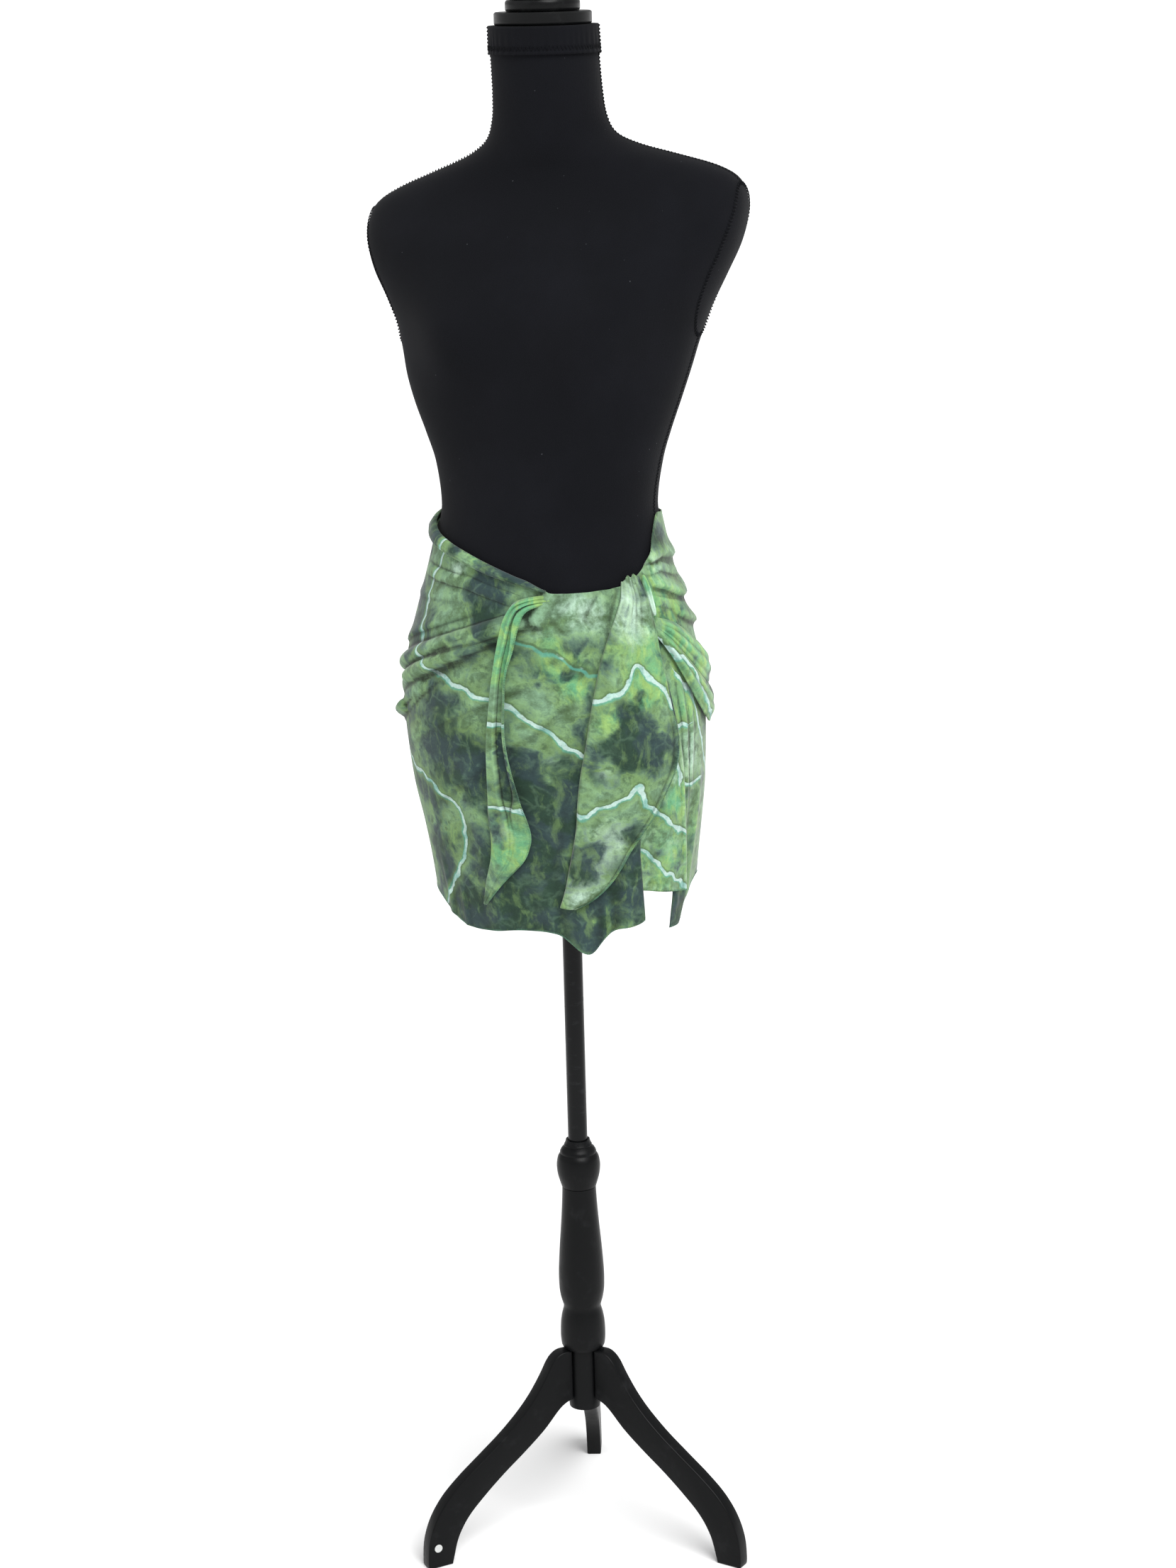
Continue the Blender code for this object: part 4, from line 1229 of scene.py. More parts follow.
@dataclass
class Sarong:
    """The seven stretches of cloth that show, and their overlocked edges.

    Tables of edges hold left angle and height, right angle and height, row by row from the tie down.
    A lift is the distance from the form to the middle of the cloth.
    """

    wrap_lift: float = 0.0024
    wide_lift: float = 0.0100
    narrow_lift: float = 0.0074
    drape_lift: float = 0.0064
    cascade_lift: float = 0.0030
    edge_flare: float = 0.0050
    end_pull: int = 6
    first_angle: float = 44.0
    last_angle: float = -302.5
    guide_share: float = 0.62
    columns: Table = ((0.0, 44.0), (0.54, -104.0), (0.76, -240.0), (1.0, -302.5))
    roll_start: float = 9.0
    roll_end: float = -226.0
    roll_top: float = 0.0015
    roll_lift: float = 0.0028
    roll_sink: float = 0.0022
    roll_slim: float = 0.40
    tail_peaks: float = 0.005
    top_edge: Table = (
        (-320, 1.08), (-305, 1.084), (-299, 1.0905), (-293, 1.098), (-288, 1.108), (-283, 1.119),
        (-279, 1.129), (-273.5, 1.1405), (-268, 1.1475), (-260, 1.146), (-230, 1.143), (-180, 1.146),
        (-120, 1.143), (-90, 1.138), (-74, 1.1325), (-57, 1.125), (-41, 1.118), (-28, 1.111),
        (-13, 1.1005), (1, 1.0893), (10, 1.0812), (25, 1.081), (48, 1.086),
    )
    hem: Table = (
        (-296, 0.725), (-292.6, 0.727), (-290.6, 0.737), (-288, 0.75), (-284, 0.758), (-270, 0.766),
        (-230, 0.752), (-180, 0.745), (-130, 0.748), (-90, 0.756), (-60, 0.751), (-49, 0.742),
        (-39, 0.731), (-27, 0.727), (4, 0.73), (17.7, 0.709), (28, 0.731), (42, 0.739), (48, 0.749),
    )
    front_end: Table = (
        (0.7, 48), (0.745, 47.5), (0.812, 43.5), (0.95, 42.5), (1.02, 43.5), (1.06, 45.5), (1.09, 47.2),
    )
    rear_end: Table = (
        (0.72, -293), (0.76, -292), (0.85, -294), (0.93, -298), (1, -302), (1.09, -310),
    )
    guide: Table = (
        (-310, 1.035), (-270, 1.01), (-232, 0.978), (-180, 0.95), (-128, 0.955), (-88, 0.982),
        (-50, 1.012), (-21, 1.036), (2, 1.056), (20, 1.05), (48, 1.04),
    )
    folds: tuple[Fold, ...] = (
        Fold(0.0074, 0.0066, ((-128, 0.955), (-88, 0.982), (-50, 1.012), (-21, 1.036), (2, 1.056)),
             rolled=True, fades=0.96),
        Fold(0.0034, 0.008, ((-120, 0.93), (-82, 0.961), (-55, 0.992), (-30, 1.011), (-8, 1.03))),
        Fold(0.0052, 0.0064, ((-70, 0.972), (-50, 0.993), (-30, 1.015), (-3, 1.046)),
             rolled=True, fades=0.94),
        Fold(0.004, 0.007, ((-105, 0.905), (-73, 0.941), (-58, 0.962), (-40, 0.985)), lean=0.5),
        Fold(0.0062, 0.0056, ((-86, 0.934), (-78, 0.94), (-70, 0.945), (-62, 0.952)), rolled=True),
        Fold(0.0022, 0.005, ((-72, 1.094), (-26, 1.087), (-9, 1.077), (3, 1.068)), rolled=True),
        Fold(0.0056, 0.007, ((63, 1.085), (76, 1.078), (93, 1.064), (120, 1.06)), lean=0.5),
        Fold(0.0044, 0.007, ((63, 1.105), (80, 1.11), (95, 1.104), (120, 1.1)), lean=0.5),
        Fold(0.005, 0.007, ((76, 1.056), (93, 1.04), (112, 1.03), (140, 1.02)), lean=0.5),
        Fold(0.0034, 0.009, ((87, 0.915), (84, 0.86), (82, 0.8), (80, 0.762)), hangs=True),
        Fold(0.006, 0.014, ((17, 0.8), (17, 0.755), (18, 0.7), (18, 0.68)), hangs=True),
        Fold(0.0028, 0.012, ((-24, 0.93), (-20, 0.85), (-16, 0.76), (-14, 0.7)), hangs=True),
        Fold(0.005, 0.016, ((-150, 0.88), (-152, 0.82), (-154, 0.74), (-155, 0.69)), hangs=True),
        Fold(0.005, 0.016, ((-186, 0.88), (-187, 0.82), (-188, 0.74), (-188, 0.69)), hangs=True),
        Fold(0.005, 0.016, ((-222, 0.88), (-221, 0.82), (-220, 0.74), (-219, 0.69)), hangs=True),
        Fold(0.0036, 0.012, ((-96, 0.9), (-92, 0.84), (-88, 0.76), (-86, 0.7)), hangs=True),
    )
    creases: tuple[Fold, ...] = (
        Fold(0.0014, 0.003, ((-84, 0.922), (-60, 0.95), (-44, 0.976), (-34, 0.994)), rolled=True),
        Fold(0.0026, 0.006, ((-96, 1), (-58, 1.03), (-32, 1.05), (-14, 1.064)), lean=0.6),
        Fold(0.0018, 0.004, ((-60, 0.975), (-38, 0.998), (-18, 1.022)), lean=0.5),
        Fold(0.0012, 0.0045, ((-96, 1.062), (-66, 1.066), (-40, 1.07), (-16, 1.07)), lean=0.4),
        Fold(0.0016, 0.007, ((-70, 0.905), (-40, 0.94), (-12, 0.975), (10, 1.005)), lean=0.4),
        Fold(0.0014, 0.007, ((-52, 0.85), (-24, 0.89), (0, 0.94), (20, 0.99)), lean=0.4),
        Fold(0.0026, 0.0054, ((48, 1.088), (43, 1.072), (38, 1.048), (35, 1.02)), lean=0.4),
        Fold(0.0019, 0.0052, ((41, 1.089), (33, 1.073), (26, 1.05)), lean=0.4),
        Fold(0.0013, 0.0056, ((30, 1.085), (21, 1.068), (13, 1.046)), lean=0.4),
        Fold(0.0056, 0.006, ((15, 1.098), (10.5, 1.081), (6.5, 1.067), (2.5, 1.048)), lean=0.5),
        Fold(0.0018, 0.004, ((69, 1), (71, 0.94), (72, 0.87), (71, 0.82)), rolled=True),
        Fold(0.0014, 0.0036, ((77, 0.965), (77, 0.92), (76, 0.862)), rolled=True),
        Fold(0.0012, 0.005, ((20, 0.905), (16, 0.86), (12, 0.81), (9, 0.77))),
        Fold(0.0014, 0.006, ((36, 0.85), (37, 0.8), (38, 0.752), (38, 0.7)), hangs=True),
        Fold(0.0016, 0.007, ((2, 0.79), (4, 0.76), (6, 0.735), (7, 0.7)), hangs=True),
        Fold(0.0015, 0.006, ((28, 0.78), (29, 0.755), (29, 0.735), (30, 0.7)), hangs=True),
        Fold(0.0018, 0.005, ((-50, 0.815), (-47, 0.78), (-45, 0.755), (-44, 0.7)), hangs=True),
        Fold(0.0014, 0.0042, ((-38, 0.79), (-35, 0.765), (-34, 0.745), (-33, 0.7)), hangs=True),
        Fold(0.0014, 0.004, ((60, 1.096), (76, 1.098), (92, 1.088), (104, 1.084)), rolled=True),
        Fold(0.0012, 0.004, ((62, 1.068), (80, 1.058), (100, 1.048)), rolled=True),
        Fold(0.0014, 0.005, ((72, 0.93), (73, 0.86), (72, 0.8), (71, 0.75)), hangs=True),
        Fold(0.003, 0.008, ((-130, 1.01), (-170, 0.985), (-215, 1), (-262, 1.04))),
        Fold(0.0024, 0.007, ((-140, 1.06), (-180, 1.045), (-225, 1.055), (-268, 1.084))),
        Fold(0.002, 0.006, ((-118, 0.9), (-150, 0.915), (-200, 0.912), (-250, 0.96))),
        Fold(0.0018, 0.005, ((-110, 1.1), (-150, 1.096), (-190, 1.1), (-236, 1.108)), rolled=True),
        Fold(0.002, 0.008, ((-120, 0.85), (-124, 0.8), (-127, 0.75), (-128, 0.7)), hangs=True),
        Fold(0.002, 0.008, ((-246, 0.86), (-245, 0.81), (-243, 0.75), (-242, 0.7)), hangs=True),
    )
    roll_size: Table = (
        (-226, 0.06), (-216, 0.36), (-196, 0.8), (-176, 1), (-85, 1), (-60, 0.8), (-35, 0.7),
        (-14, 0.6), (0, 0.4), (9, 0.06),
    )
    roll_section: Table = (
        (0, -0.0104, 0.0034), (0.1, -0.0103, 0.0056), (0.25, -0.0084, 0.0084), (0.45, -0.0048, 0.0097),
        (0.65, -0.0006, 0.0092), (0.85, 0.0038, 0.0064), (1, 0.0045, 0.003),
    )
    tail_wide: Table = (
        (46, 1.0915, 57, 1.095), (43, 1.075, 58, 1.076), (39, 1.058, 58.2, 1.058),
        (34.5, 1.04, 58, 1.038), (30.5, 1.02, 57.5, 1.018), (27.5, 1, 58, 0.996),
        (24, 0.964, 60, 0.959), (21.5, 0.93, 62, 0.93), (19, 0.898, 60.5, 0.902),
        (17.5, 0.87, 54, 0.872), (16.5, 0.847, 48, 0.85), (14.5, 0.822, 39, 0.822),
        (12.5, 0.8, 34, 0.802), (11, 0.782, 28.5, 0.784), (9.5, 0.768, 21, 0.768),
        (8.5, 0.76, 14, 0.759),
    )
    tail_narrow: Table = (
        (10.5, 1.0785, 11, 1.07), (6, 1.078, 7.5, 1.069), (1.5, 1.076, 4.5, 1.0672),
        (-1.8, 1.0715, 2.5, 1.0645), (-4, 1.064, 1, 1.059), (-6, 1.051, 0, 1.048),
        (-7.5, 1.028, -1.5, 1.025), (-8.5, 1.003, -3.5, 1.001), (-10, 0.964, -4.2, 0.964),
        (-11.5, 0.924, -4, 0.924), (-13, 0.877, -1.5, 0.877), (-14, 0.85, 0, 0.85),
        (-14, 0.83, 0.2, 0.828), (-15, 0.808, -2.5, 0.806), (-18.3, 0.782, -11.2, 0.78),
        (-20.4, 0.758, -19, 0.757),
    )
    hip_drape: Table = (
        (59.5, 1.052, 58.3, 1.036), (67.8, 1.047, 65, 1.013), (73.6, 1.042, 69.5, 0.995),
        (81, 1.032, 76.5, 0.972), (89.5, 1.02, 85.5, 0.949), (98, 1.01, 95, 0.931),
        (107, 1.003, 105, 0.93), (118, 0.998, 117, 0.942), (130, 0.994, 130, 0.96),
        (142, 0.99, 142, 0.98),
    )
    cascade: Table = (
        (49, 0.998, 60, 0.996), (47.5, 0.96, 63.5, 0.96), (44.5, 0.92, 66.5, 0.915),
        (43, 0.875, 68.5, 0.875), (42, 0.83, 71, 0.835), (42.5, 0.795, 74.5, 0.795),
        (43.5, 0.774, 77, 0.762),
    )
    knot_angle: float = 58.9
    knot_height: float = 1.0740
    knot_half_angle: float = 1.5
    knot_half_height: float = 0.0200
    knot_lift: float = 0.0088
    knot_half_depth: float = 0.0040
    knot_slant: float = 0.6
    overlock: Overlock = field(default_factory=Overlock)

    def wrap_height_off(self, angle: Array, z: Array) -> Array:
        """How far the main stretch stands off the form, folds and creases included.

        Args:
            angle: Degrees from the front.
            z: Heights.

        Returns:
            The lift at each place.
        """
        flare = self.edge_flare * ramp(angle, 30, 42) * (1 - ramp(z, 0.92, 0.98))
        soft = 0.0004 * grain(angle * DEGREE, z * 0.7, 24.0, 11.0)
        total = self.wrap_lift + flare + soft
        for fold in (*self.folds, *self.creases):
            total = total + fold.lift(angle, z)
        return total

    def wrap_place(self, across: Array, down: Array) -> Laid:
        """Lays the main stretch: across runs from the front end round to the rear one, down from the hem.

        Args:
            across: Shares across.
            down: Shares down.

        Returns:
            The laid places.
        """
        nominal = straight(self.columns, across)
        across = (self.first_angle - nominal) / (self.first_angle - self.last_angle)
        low = smooth_rows(self.hem, nominal)[..., 0]
        mid = smooth_rows(self.guide, nominal)[..., 0]
        top = smooth_rows(self.top_edge, nominal)[..., 0]
        share = self.guide_share
        lower = low + (mid - low) * down / share
        upper = mid + (top - mid) * (down - share) / (1 - share)
        z = np.where(down < share, lower, upper)
        front = straight(self.front_end, z) - self.first_angle
        rear = straight(self.rear_end, z) - self.last_angle
        angle = nominal + front * (1 - across) ** self.end_pull + rear * across**self.end_pull
        points = FORM.points(angle, z, self.wrap_height_off(angle, z))
        return Laid(points, np.column_stack([angle * DEGREE, z]), angle, z)

    def roll_place(self, across: Array, down: Array) -> Laid:
        """Lays the rolled top band: across runs along it, down round its section.

        Args:
            across: Shares across.
            down: Shares down.

        Returns:
            The laid places.
        """
        angle = self.roll_start + (self.roll_end - self.roll_start) * across
        size = straight(self.roll_size, angle)
        top = smooth_rows(self.top_edge, angle)[..., 0] + self.roll_top * np.minimum(size * 2, 1)
        rise, lift = np.moveaxis(smooth_rows(self.roll_section, down), -1, 0)
        layers = 0.00035 * np.cos(down * 30 + angle * 0.05) * size * np.sin(math.pi * down)
        soft = 0.0004 * grain(angle * DEGREE, down * 0.03, 40.0, 4.0) * size
        slim = self.roll_slim + (1 - self.roll_slim) * size
        off = self.roll_lift + (lift - self.roll_lift) * slim + layers + soft
        ends = ramp(self.roll_start - angle, 0, 4) * ramp(angle - self.roll_end, 0, 4)
        off = off - self.roll_sink * (1 - ends)
        z = top + rise * size
        points = FORM.points(angle, z, off)
        return Laid(points, np.column_stack([angle * DEGREE + 2.0, down * 0.026 + 3.0]), angle, z)

    def strip_place(
        self, edges: Table, off: Callable[..., Array], shift: float, peaks: float = 0.0
    ) -> Place:
        """Lays a hanging strip between its two edges.

        Args:
            edges: Its two edges.
            off: The lift at (down, over, angle, z).
            shift: Moves its flat pattern clear of the other stretches.
            peaks: How far the gathers stand up at its top edge.

        Returns:
            The place function.
        """

        def top_wave(across: Array) -> Array:
            """The gathers along a strip's top edge."""
            return bell(across, 0.30, 0.16) + 0.9 * bell(across, 0.66, 0.12) - 0.5

        table = [(i / (len(edges) - 1), *row) for i, row in enumerate(edges)]

        def place(across: Array, down: Array) -> Laid:
            """Lays shares across and down the strip."""
            left_angle, left_z, right_angle, right_z = np.moveaxis(smooth_rows(table, down), -1, 0)
            angle = left_angle + (right_angle - left_angle) * across
            z = left_z + (right_z - left_z) * across
            z = z + peaks * top_wave(across) * (1 - ramp(down, 0.0, 0.08))
            points = FORM.points(angle, z, off(down, across, angle, z))
            return Laid(points, np.column_stack([angle * DEGREE + shift, z + shift]), angle, z)

        return place

    def wide_off(self, down: Array, over: Array, angle: Array, z: Array) -> Array:
        """Lift of the broad end: gathers at the tie that open into soft folds.

        Args:
            down: Shares down.
            over: Shares across.
            angle: Degrees from the front.
            z: Heights.

        Returns:
            The lift at each place.
        """
        gathers = 0.0030 * (0.5 - 0.5 * np.cos(4 * math.pi * over**1.2)) * (1 - ramp(down, 0.16, 0.60))
        small = 0.0005 * np.cos(13 * math.pi * over + 1.0) * (1 - ramp(down, 0.06, 0.26))
        ridge = 0.0034 * bell(over, 0.16, 0.12) * (1 - ramp(down, 0.45, 0.9))
        belly = 0.0030 * np.sin(math.pi * over) * ramp(down, 0.2, 0.5)
        turned = 0.0056 * (1 - ramp(down, 0.0, 0.09))
        roll = 0.0022 * ramp(over, 0.93, 1.0) * ramp(down, 0.35, 0.5) - 0.0016 * bell(over, 0.0, 0.02)
        soft = 0.0007 * grain(angle * DEGREE, z * 0.6, 30.0, 8.0) * ramp(down, 0.05, 0.3)
        pleats = (gathers + ridge + small) * ramp(down, -0.04, 0.08)
        return self.wide_lift + pleats + belly - turned + roll + soft

    def narrow_off(self, down: Array, over: Array, angle: Array, z: Array) -> Array:
        """Lift of the narrow end: a strip folded along its length, with a hollow behind the lip.

        Args:
            down: Shares down.
            over: Shares across.
            angle: Degrees from the front.
            z: Heights.

        Returns:
            The lift at each place.
        """
        gape = ramp(down, 0.30, 0.46) * (1 - ramp(down, 0.66, 0.72))
        closed = 1 - gape
        flap = ramp(over, 0.0, 0.12) * (1 - ramp(over, 0.48 - 0.08 * gape, 0.54 - 0.08 * gape))
        flap = flap * (1 - 0.35 * closed * bell(over, 0.3, 0.12))
        lip = ramp(over, 0.62 + 0.18 * gape, 0.72 + 0.18 * gape)
        leaf = 0.14 + 0.86 * (1 - ramp(down, 0.66, 0.77))
        floor = 0.0026 * closed * np.sin(math.pi * over) * (1 - ramp(down, 0.66, 0.74))
        swell = 0.0012 * np.sin(math.pi * over) * ramp(down, 0.7, 0.8)
        lying = 0.0042 * (1 - ramp(down, 0.0, 0.12))
        rise = (0.0062 * flap + 0.0056 * lip) * leaf * ramp(down, 0.05, 0.2)
        pleats = 0.0016 * (0.5 - 0.5 * np.cos(6 * math.pi * over)) * (1 - ramp(down, 0.16, 0.34))
        soft = 0.0004 * grain(angle * DEGREE, z, 60.0, 2.0)
        return self.narrow_lift - lying + rise + floor + swell + soft + pleats

    def drape_off(self, down: Array, over: Array, angle: Array, z: Array) -> Array:
        """Lift of the gathered stretch on the hip, in folds that run along it.

        Args:
            down: Shares down.
            over: Shares across.
            angle: Degrees from the front.
            z: Heights.

        Returns:
            The lift at each place.
        """
        fade = 1 - ramp(down, 0.7, 1.0)
        folds = 0.0052 * np.abs(np.sin(2 * math.pi * over)) ** 0.7 * fade * ramp(down, 0.0, 0.14)
        small = 0.0007 * np.cos(11 * math.pi * over + 2.0) * fade * ramp(down, 0.02, 0.12)
        under = 0.0016 * ramp(z, 1.02, 1.05) * ramp(angle, 70, 80)
        ends = 0.0019 * (ramp(down, 0.82, 0.98) + 1 - ramp(down, 0.0, 0.06))
        return self.drape_lift + folds + small + under - ends

    def cascade_off(self, down: Array, over: Array, angle: Array, z: Array) -> Array:
        """Lift of the inner hanging panel, behind the front edge and over the rear one.

        Args:
            down: Shares down.
            over: Shares across.
            angle: Degrees from the front.
            z: Heights.

        Returns:
            The lift at each place.
        """
        wave = 0.0012 * (0.5 - 0.5 * np.cos(2 * math.pi * over)) * ramp(down, 0.3, 0.9)
        tuck = 0.0021 * ramp(z, 0.90, 0.96)
        edge = 0.0012 * bell(over, 0.97, 0.04) * ramp(down, 0.2, 0.4)
        lines = 0.0005 * np.cos(9 * over + 3 * down) * ramp(angle, 56, 62)
        over_rear = 0.0034 * ramp(angle, 50, 56) + (wave - tuck) * ramp(angle, 54, 60)
        return self.cascade_lift + over_rear + edge + lines

    def knot_place(self, across: Array, down: Array) -> Laid:
        """Lays the tie, a small gathered loop of cloth.

        Args:
            across: Shares across.
            down: Shares down.

        Returns:
            The laid places.
        """
        around = across * 2 * math.pi
        up = np.cos(down * math.pi)
        ring = np.sin(down * math.pi)
        side, out = np.cos(around) * ring, np.sin(around) * ring
        pleats = 0.86 + 0.14 * np.cos(5 * around) * (out > 0)
        angle = self.knot_angle + self.knot_half_angle * (side - self.knot_slant * up)
        z = self.knot_height + self.knot_half_height * np.sign(up) * np.abs(up) ** 0.8
        points = FORM.points(angle, z, self.knot_lift + self.knot_half_depth * out * pleats)
        return Laid(points, np.column_stack([across * 0.04 + 6.0, z + 6.0]), angle, z)


# Dye plans of the stretches


WRAP_DYE = DyePlan(
    veins=(
        Vein(((-47, 1.112), (-53, 1.078), (-52, 1.04), (-49, 1.013), (-37, 0.995), (-20, 0.979),
              (-4, 0.966), (9, 0.94), (20, 0.919), (42, 0.898))),
        Vein(((-4, 1.036), (4, 1.027), (14, 1.017), (22, 1.004), (32, 1.001)), 0.28),
        Vein(((-292, 0.993), (-283, 0.972), (-277, 0.948), (-272, 0.915), (-262, 0.88), (-248, 0.862),
              (-231, 0.884), (-214, 0.872), (-201, 0.892), (-182, 0.88), (-160, 0.896), (-149, 0.93),
              (-141, 0.905), (-128, 0.88), (-110, 0.888), (-96, 0.912), (-80, 0.906), (-58, 0.888),
              (-38, 0.87), (-28, 0.848), (-29, 0.812), (-35, 0.788), (-43, 0.767), (-50, 0.746))),
        Vein(((-298, 0.939), (-288, 0.939)), 0.8),
        Vein(((-294, 0.88), (-284, 0.874), (-275, 0.876))),
        Vein(((-84, 1.135), (-88, 1.092), (-101, 1.052), (-119, 1.04), (-131, 1.06), (-140, 1.081),
              (-149, 1.05), (-170, 1.031), (-187, 1.02), (-205, 1.042), (-214, 1.072), (-228, 1.058),
              (-246, 1.078), (-257, 1.142))),
        Vein(((-108, 0.742), (-116, 0.772), (-133, 0.79), (-146, 0.822), (-155, 0.798), (-178, 0.782),
              (-200, 0.8), (-222, 0.778), (-232, 0.744))),
    ),
    spots={
        # The pale spots at -286 and -284 degrees are partly dye and partly painted light on the side facing
        # the key light
        Tone.PALE: (
            (-35, 1.102, 0.012, 0.9), (18, 1.068, 0.026, 0.36), (32, 1.062, 0.024, 0.42),
            (8, 0.914, 0.01, 0.35), (11, 0.832, 0.01, 0.75), (-286, 1.09, 0.044, 0.55),
            (-284, 0.9, 0.034, 0.7), (-160, 1.07, 0.03, 0.5), (-190, 0.8, 0.024, 0.5),
        ),
        # The slate spots at heights below about 0.77 are painted shade along the hem; the others are dye
        Tone.SLATE: (
            (-13, 1.078, 0.026, 0.75), (-16, 1.05, 0.014, 0.5), (-72, 1.06, 0.034, 0.55),
            (-36, 0.966, 0.022, 0.55), (-30, 0.93, 0.028, 0.65), (-14, 0.905, 0.026, 0.55),
            (0, 0.884, 0.022, 0.75), (8, 0.85, 0.036, 0.9), (0, 0.812, 0.026, 0.7),
            (-20, 0.752, 0.036, 0.8), (12, 0.765, 0.028, 0.4), (-38, 0.745, 0.03, 0.55),
            (-62, 0.935, 0.026, 0.5), (-60, 0.88, 0.03, 0.55), (-48, 0.8, 0.02, 0.35),
            (-4, 0.742, 0.034, 0.6), (22, 0.728, 0.024, 0.6), (42, 0.785, 0.032, 0.85),
            (20, 1.058, 0.034, -0.9), (4, 1.052, 0.02, -0.6), (18, 1.024, 0.024, 0.3),
            (-40, 1.06, 0.02, -0.5), (-284, 1.128, 0.016, 0.45), (-292, 0.745, 0.02, 0.7),
            (-130, 1.09, 0.04, 0.6), (-178, 0.96, 0.048, 0.75), (-215, 0.85, 0.04, 0.7),
            (-140, 0.85, 0.04, 0.6),
        ),
        # The fresh spots from -288 to -280 degrees are partly dye and partly painted light on the side
        # facing the key light
        Tone.FRESH: (
            (10, 1.012, 0.016, 1), (22, 0.996, 0.016, 1), (24, 0.74, 0.024, 0.35),
            (-46, 0.84, 0.03, 0.35), (-288, 1.06, 0.042, 1.1), (-286, 0.97, 0.034, 0.9),
            (-280, 0.82, 0.03, 0.45), (-235, 0.96, 0.04, 0.6),
        ),
    },
)
ROLL_DYE = DyePlan(
    veins=(Vein(((-48, 1.15), (-47, 1.128), (-48, 1.1))), Vein(((-140, 1.16), (-142, 1.12)))),
    spots={
        Tone.SLATE: (
            (-62, 1.13, 0.03, 0.55), (-34, 1.124, 0.014, 0.7), (-8, 1.104, 0.022, 0.8),
            (-120, 1.145, 0.04, 0.6),
        ),
        Tone.FRESH: ((-22, 1.117, 0.014, 0.8), (-170, 1.147, 0.036, 0.6)),
        Tone.PALE: ((4, 1.09, 0.01, 0.5),),
    },
    seed=20,
)
WIDE_DYE = DyePlan(
    veins=(
        Vein(((20, 0.97), (30, 0.979), (36, 0.984), (41, 1.001), (45, 1.005), (51, 0.991), (58, 0.974),
              (64, 0.944))),
        Vein(((14, 0.863), (20, 0.857), (28, 0.87), (36, 0.874), (41, 0.888), (45, 0.869), (52, 0.85))),
    ),
    spots={
        Tone.PALE: (
            (48, 1.078, 0.026, 0.85), (46, 1.045, 0.026, 0.7), (29, 0.902, 0.012, 0.7),
            (30, 0.838, 0.024, 0.8), (24, 0.805, 0.02, 0.8), (16, 0.776, 0.018, 0.7),
        ),
        Tone.FRESH: (
            (48, 1.034, 0.032, 0.5), (56, 1, 0.026, 0.95), (44, 0.981, 0.013, 1.3),
            (30, 0.955, 0.014, 0.7),
        ),
        Tone.SLATE: (
            (39, 0.95, 0.026, 0.55), (46, 0.925, 0.03, 0.5), (38, 0.915, 0.009, 0.6),
            (46, 0.914, 0.009, 0.6), (24, 0.905, 0.016, 0.65), (38, 0.832, 0.012, 0.5),
            (16, 0.8, 0.014, 0.4), (22, 0.825, 0.01, 0.5),
        ),
    },
    seed=40,
    base=(0, 0.12, 0.02),
)
NARROW_DYE = DyePlan(
    veins=(Vein(((-14, 0.949), (-2, 0.951))), Vein(((-16, 0.865), (2, 0.862)))),
    spots={
        Tone.FRESH: ((0, 1.068, 0.024, 0.9), (-5, 1.02, 0.03, 0.7), (-6, 0.818, 0.02, 0.8)),
        # The strong small slate spots from -6.6 to -5 degrees are painted shade in the hollow behind the
        # lip; the last slate spot is dye
        Tone.SLATE: (
            (-6.6, 0.94, 0.0026, 1.8), (-6.4, 0.931, 0.0032, 2.4), (-6.2, 0.921, 0.0036, 2.6),
            (-5.9, 0.911, 0.004, 2.6), (-5.6, 0.9, 0.0042, 2.6), (-5.3, 0.889, 0.0046, 2.6),
            (-5, 0.877, 0.005, 2.6), (-18, 0.765, 0.012, 0.6),
        ),
        Tone.PALE: ((-9, 0.836, 0.014, 0.4),),
    },
    seed=60,
    base=(-0.1, 0.34, 0.05),
    warp=(0.0025, 22.0),
)
DRAPE_DYE = DyePlan(
    veins=(Vein(((60, 1.03), (66, 1.014), (74, 1.003), (82, 0.98), (88, 0.955), (96, 0.935))),),
    spots={
        Tone.FRESH: ((74, 1.036, 0.03, 0.8), (92, 0.99, 0.03, 0.5)),
        Tone.SLATE: ((64, 1.02, 0.01, 0.5), (112, 0.97, 0.03, 0.6)),
    },
    seed=80,
    # The fresh and pale base is partly dye and partly painted light on the side facing the key light
    base=(-0.1, 0.38, 0.3),
)
CASCADE_DYE = DyePlan(
    veins=(
        Vein(((62, 0.912), (66, 0.88)), 0.9),
        Vein(((48, 0.862), (56, 0.848), (63, 0.836), (74, 0.824)), 0.75),
        Vein(((42, 0.82), (52, 0.805), (62, 0.785), (78, 0.764))),
    ),
    spots={
        Tone.FRESH: ((62, 0.868, 0.02, 0.8), (60, 0.8, 0.024, 0.55)),
        Tone.SLATE: ((60, 0.96, 0.016, 0.6),),
        Tone.PALE: ((66, 0.9, 0.014, 0.6),),
    },
    seed=100,
    base=(-0.1, 0.3, 0.3),
)
KNOT_DYE = DyePlan(
    spots={
        Tone.FRESH: ((59, 1.082, 0.016, 0.9),),
        Tone.PALE: ((59.5, 1.062, 0.01, 2),),
    },
    seed=120,
    base=(-0.8, 0.3, 0.12),
)


@dataclass(frozen=True)
class Cut:
    """One stretch as it is cut, laid and stitched.

    Attributes:
        name: The piece's name.
        node: The CAD node that it stands for.
        grid: Grid steps across and down.
        place: Its place function.
        plan: Its dye.
        flat: Its flat width and length; not used.
        area: The area of its flat outline; not used.
        held: How it is held; not used.
        stitched: The cut edges, each with the shares of it where the stitching starts and ends.
        closed: Its side borders meet.
    """

    name: str
    node: str
    grid: tuple[int, int]
    place: Place
    plan: DyePlan
    flat: tuple[float, float]
    area: float
    held: str
    stitched: tuple[tuple[Side, float, float], ...] = ()
    closed: bool = False


